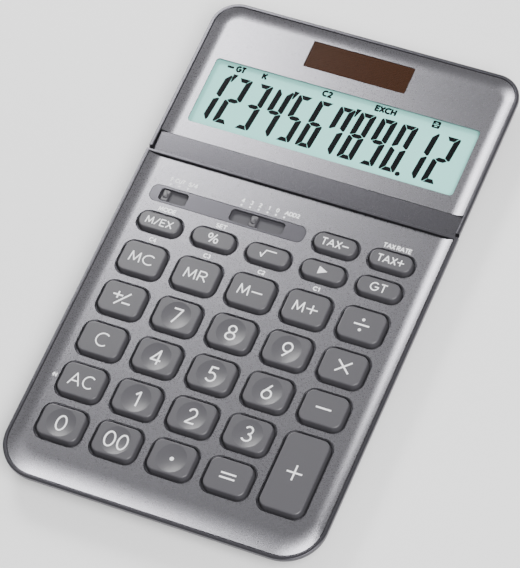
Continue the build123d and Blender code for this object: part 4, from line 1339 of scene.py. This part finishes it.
class CALCULATOR_OT_printing(bpy.types.Operator):
    """Print the legends on the keys and the words on the keyboard face"""

    bl_idname = "calculator.printing"
    bl_label = "Printing"

    def execute(self, context):
        case = context.scene.calculator_case
        finish = finishes()["print"]
        for node in key_nodes:
            centre = node_place(node)[0]
            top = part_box(node)[1].z
            cap = bpy.data.objects[f"{node}_cap"]
            place = (centre.x, centre.y, top + LIFT)
            surface = cap if node in dimpled else None
            layers = []
            if node in LEGENDS:
                words, height, width = LEGENDS[node]
                pen = (0.56 if height > 5 else 0.46 if height > 3.2 else 0.4) * MM
                strokes = pen_strokes(words, height * MM, width * MM, pen)
                layers.append(ink(f"{node}_legend", strokes, pen, place, surface))
            if node == "key_point":
                layers.append(filled("dot", [disc(0, 0, 0.68 * MM)], place, surface))
            if node == "key_divide":
                dots = [disc(0, side * 1.85 * MM, 0.52 * MM) for side in (-1, 1)]
                layers.append(filled("dots", dots, place))
            if node == "key_backspace":
                arrow = [(-1.5 * MM, -1.4 * MM), (1.5 * MM, 0), (-1.5 * MM, 1.4 * MM)]
                layers.append(filled("arrow", [arrow], place))
            legend = join(layers)
            legend.name = f"{node}_legend"
            dress(legend, f"{node}_cap", "key_plastic", finish)
        layers = []
        # The words on the face lie closer to their ground than the legends on the keys
        pen, ground = 0.36 * MM, case.face + 0.014 * MM
        for words, x, y, height, width in FACE_WORDS:
            strokes = pen_strokes(words, height * MM, width * MM, pen)
            layers.append(ink("word", strokes, pen, (x * MM, y * MM, ground)))
        dots = [disc(x * MM, DOT_ROW * MM, 0.36 * MM) for x in SWITCH_DOTS]
        layers.append(filled("dots", dots, (0, 0, ground)))
        words = join(layers)
        words.name = "face_words"
        dress(words, "base", "dished_metal", finish)
        return {"FINISHED"}


# Display --------------------

# Solids that keep their shape, and their finish
SOLID_FINISHES = [
    ("lcd_glass", "glass"),
    ("display_window", "window"),
    ("solar_cell", "solar"),
    ("lcd_reflector", "reflector"),
    ("zebra_connector", "rubber"),
    ("display_board", "board"),
    ("main_board", "board"),
    ("ribbon_cable", "ribbon"),
    ("rubber_key_mat", "mat"),
    ("coin_cell", "steel"),
    ("cell_contacts", "steel"),
    ("hinge_pins", "steel"),
]


class CALCULATOR_OT_display(bpy.types.Operator):
    """Model what the display shows, its window and the solar cell's window"""

    bl_idname = "calculator.display"
    bl_label = "Display"

    def execute(self, context):
        sizes = context.scene.calculator_display
        case = context.scene.calculator_case
        finish = finishes()
        glass_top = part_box("lcd_glass")[1].z
        shapes = []
        for place, digit in enumerate("123456789012"):
            centre = sizes.first_digit + place * sizes.pitch
            for outline in self.digit(sizes, digit):
                shapes.append(
                    [(x + centre + sizes.slant * y, y + sizes.digit_y) for x, y in outline]
                )
        half = sizes.digit_height / 2
        ticks = []
        for place in (0, 3, 6):
            x = sizes.first_digit + (place + 0.6) * sizes.pitch
            tick = [(-0.85, 0.7), (-0.8, -2.5), (-0.35, -2.5), (0.9, 0.6)]
            ticks.append([(x + a * MM, sizes.digit_y + half + b * MM) for a, b in tick])
        point_x = sizes.first_digit + 9.43 * sizes.pitch
        shapes.append(disc(point_x, sizes.digit_y - half + 0.1 * MM, 0.85 * MM))
        dash_x = -40.9 * MM + sizes.shift_x
        dash = [
            (dash_x + a * 1.25 * MM, sizes.words_y + b * 0.42 * MM)
            for a, b in ((-1, 0), (-0.8, 1), (0.8, 1), (1, 0), (0.8, -1), (-0.8, -1))
        ]
        ticks.append(dash)
        layers = [
            filled("segments", shapes, (0, 0, glass_top + LIFT)),
            filled("ticks", ticks, (0, 0, glass_top + 0.03 * MM)),
        ]
        pen = 0.68 * MM
        for words, x, height, width in (
            ("GT", -37.2, 2.5, 3.5),
            ("K", -28.6, 2.5, 1.9),
            ("C2", -6.2, 2.5, 3.7),
            ("EXCH", 14.4, 2.5, 7.5),
        ):
            strokes = pen_strokes(words, height * MM, width * MM, pen)
            where = (x * MM + sizes.shift_x, sizes.words_y, glass_top + LIFT)
            layers.append(ink("word", strokes, pen, where))
        layers.append(self.sign(sizes, glass_top))
        shown = join(layers)
        shown.name = "display_digits"
        dress(shown, "display", "lcd_glass", finish["segments"])

        for node, name in SOLID_FINISHES:
            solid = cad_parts[node]
            solid.data.materials.clear()
            solid.data.materials.append(finish[name])

        place, size = node_place("solar_window")
        low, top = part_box("solar_window")[0].z, case.face - 0.02 * MM
        pane = rounded_block("solar_pane", place, (size.x, size.y), case.pane_radius, low, top, 3)
        edit(pane)
        soften(0.12 * MM, 2, corners_at(top))
        dress(pane, "display", "clear_window", finish["tinted"])
        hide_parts("solar_window")
        return {"FINISHED"}

    def digit(self, sizes, digit):
        """Outlines of the lit segments of one upright digit round its middle."""
        side, top = sizes.digit_width / 2, sizes.digit_height / 2
        thick, bar = sizes.upright, sizes.bar
        upper_left = [
            (-side, 0.5 * MM),
            (-side + 0.3 * MM, 0.17 * MM),
            (-side + 0.62 * MM, 0.17 * MM),
            (-side + thick, bar / 2 + 0.28 * MM),
            (-side + thick, top - bar - 0.2 * MM),
            (-side + 0.6 * MM, top - 0.03 * MM),
            (-side + 0.18 * MM, top - 0.22 * MM),
            (-side, top - 0.65 * MM),
        ]
        crown = [
            (-side + 0.85 * MM, top),
            (side - 0.85 * MM, top),
            (side - thick + 0.05 * MM, top - bar),
            (-side + thick - 0.05 * MM, top - bar),
        ]
        belt = [
            (-side + 0.75 * MM, 0),
            (-side + thick - 0.2 * MM, bar / 2),
            (side - thick + 0.2 * MM, bar / 2),
            (side - 0.75 * MM, 0),
            (side - thick + 0.2 * MM, -bar / 2),
            (-side + thick - 0.2 * MM, -bar / 2),
        ]
        segments = {
            "a": crown,
            "b": [(-x, y) for x, y in upper_left],
            "c": [(-x, -y) for x, y in upper_left],
            "d": [(x, -y) for x, y in crown],
            "e": [(x, -y) for x, y in upper_left],
            "f": upper_left,
            "g": belt,
        }
        # Which segments each digit lights, from 0 to 9
        lit = "abcdef bc abged abgcd fgbc afgcd afgedc fabc abcdefg abcdfg".split()
        return [segments[letter] for letter in lit[int(digit)]]

    def sign(self, sizes, glass_top):
        """The small boxed sign with three marks, at the upper right of the display."""
        x, y = 32.1 * MM + sizes.shift_x, sizes.words_y
        half, corner = 1.35, 1.08
        box = [(-half, -corner), (-corner, -half), (corner, -half), (half, -corner)]
        shapes = [box + [(-a, -b) for a, b in box]]
        for reach, low, high in ((0.95, -0.14, 0.14), (0.45, 0.45, 0.78), (0.45, -0.78, -0.45)):
            shapes.append([(-reach, low), (reach, low), (reach, high), (-reach, high)])
        placed = [[(x + a * MM, y + b * MM) for a, b in shape] for shape in shapes]
        return filled("sign", placed, (0, 0, glass_top + LIFT))


# Stage --------------------


class CALCULATOR_OT_stage(bpy.types.Operator):
    """Set up the pale desk, the soft studio light and the camera"""

    bl_idname = "calculator.stage"
    bl_label = "Desk, light and camera"

    def execute(self, context):
        colours = context.scene.calculator_colours
        desk = plate("desk", (-3, 3), (-3, 3), 0)
        desk.data.materials.append(grained("Painted desk", colours.desk, 0.005, 3.0, 0.7, 0.0))

        world = bpy.data.worlds.new("Studio")
        context.scene.world = world
        world.use_nodes = True
        world.node_tree.nodes["Background"].inputs["Color"].default_value = linear("ffffff")
        world.node_tree.nodes["Background"].inputs["Strength"].default_value = 0.34

        self.lamp("Left softbox", (-0.27, 0.29, 0.36), 0.18, 2.0)
        self.lamp("Rear softbox", (0.2, 0.95, 0.66), 0.7, 3.6)
        self.lamp("Front softbox", (0.5, -0.35, 0.8), 0.6, 16)

        data = bpy.data.cameras.new("Camera")
        data.sensor_fit = "VERTICAL"
        data.sensor_height = 36
        data.lens = 211.8
        camera = bpy.data.objects.new("Camera", data)
        context.scene.collection.objects.link(camera)
        right = Vector((0.91062, 0.38851, -0.14079))
        up = -Vector((0.27494, -0.82397, -0.49546))
        back = right.cross(up)
        turn = Matrix((right, back.cross(right), back)).transposed()
        camera.matrix_world = Matrix.Translation((0.32620, -0.43997, 0.91380)) @ turn.to_4x4()
        context.scene.camera = camera
        return {"FINISHED"}

    def lamp(self, name, place, size, watts):
        """One square soft lamp, aimed at the calculator."""
        data = bpy.data.lights.new(name, "AREA")
        data.size = size
        data.energy = watts
        lamp = bpy.data.objects.new(name, data)
        lamp.location = place
        lamp.rotation_euler = (-Vector(place)).to_track_quat("-Z", "Y").to_euler()
        bpy.context.scene.collection.objects.link(lamp)


# Panel and registration --------------------

operators = [
    CALCULATOR_OT_faces,
    CALCULATOR_OT_cases,
    CALCULATOR_OT_keys,
    CALCULATOR_OT_switches,
    CALCULATOR_OT_underside,
    CALCULATOR_OT_printing,
    CALCULATOR_OT_display,
    CALCULATOR_OT_stage,
]


class CALCULATOR_PT_steps(bpy.types.Panel):
    """Lists the steps that model the calculator"""

    bl_idname = "CALCULATOR_PT_steps"
    bl_label = "Calculator"
    bl_space_type = "VIEW_3D"
    bl_region_type = "UI"
    bl_category = "Calculator"

    def draw(self, context):
        for operator in operators:
            self.layout.operator(operator.bl_idname)


groups = {
    "calculator_case": CalculatorCaseSizes,
    "calculator_keys": CalculatorKeySizes,
    "calculator_display": CalculatorDisplaySizes,
    "calculator_colours": CalculatorColours,
}
classes = [*groups.values(), *operators, CALCULATOR_PT_steps]


def register():
    for kind in classes:
        bpy.utils.register_class(kind)
    for name, group in groups.items():
        setattr(bpy.types.Scene, name, bpy.props.PointerProperty(type=group))


def unregister():
    for name in groups:
        delattr(bpy.types.Scene, name)
    for kind in reversed(classes):
        bpy.utils.unregister_class(kind)


def main():
    """Models the whole calculator."""
    register()
    bpy.ops.calculator.faces()
    bpy.ops.calculator.cases()
    bpy.ops.calculator.keys()
    bpy.ops.calculator.switches()
    bpy.ops.calculator.underside()
    bpy.ops.calculator.printing()
    bpy.ops.calculator.display()
    bpy.ops.calculator.stage()


if __name__ == "__main__":
    main()
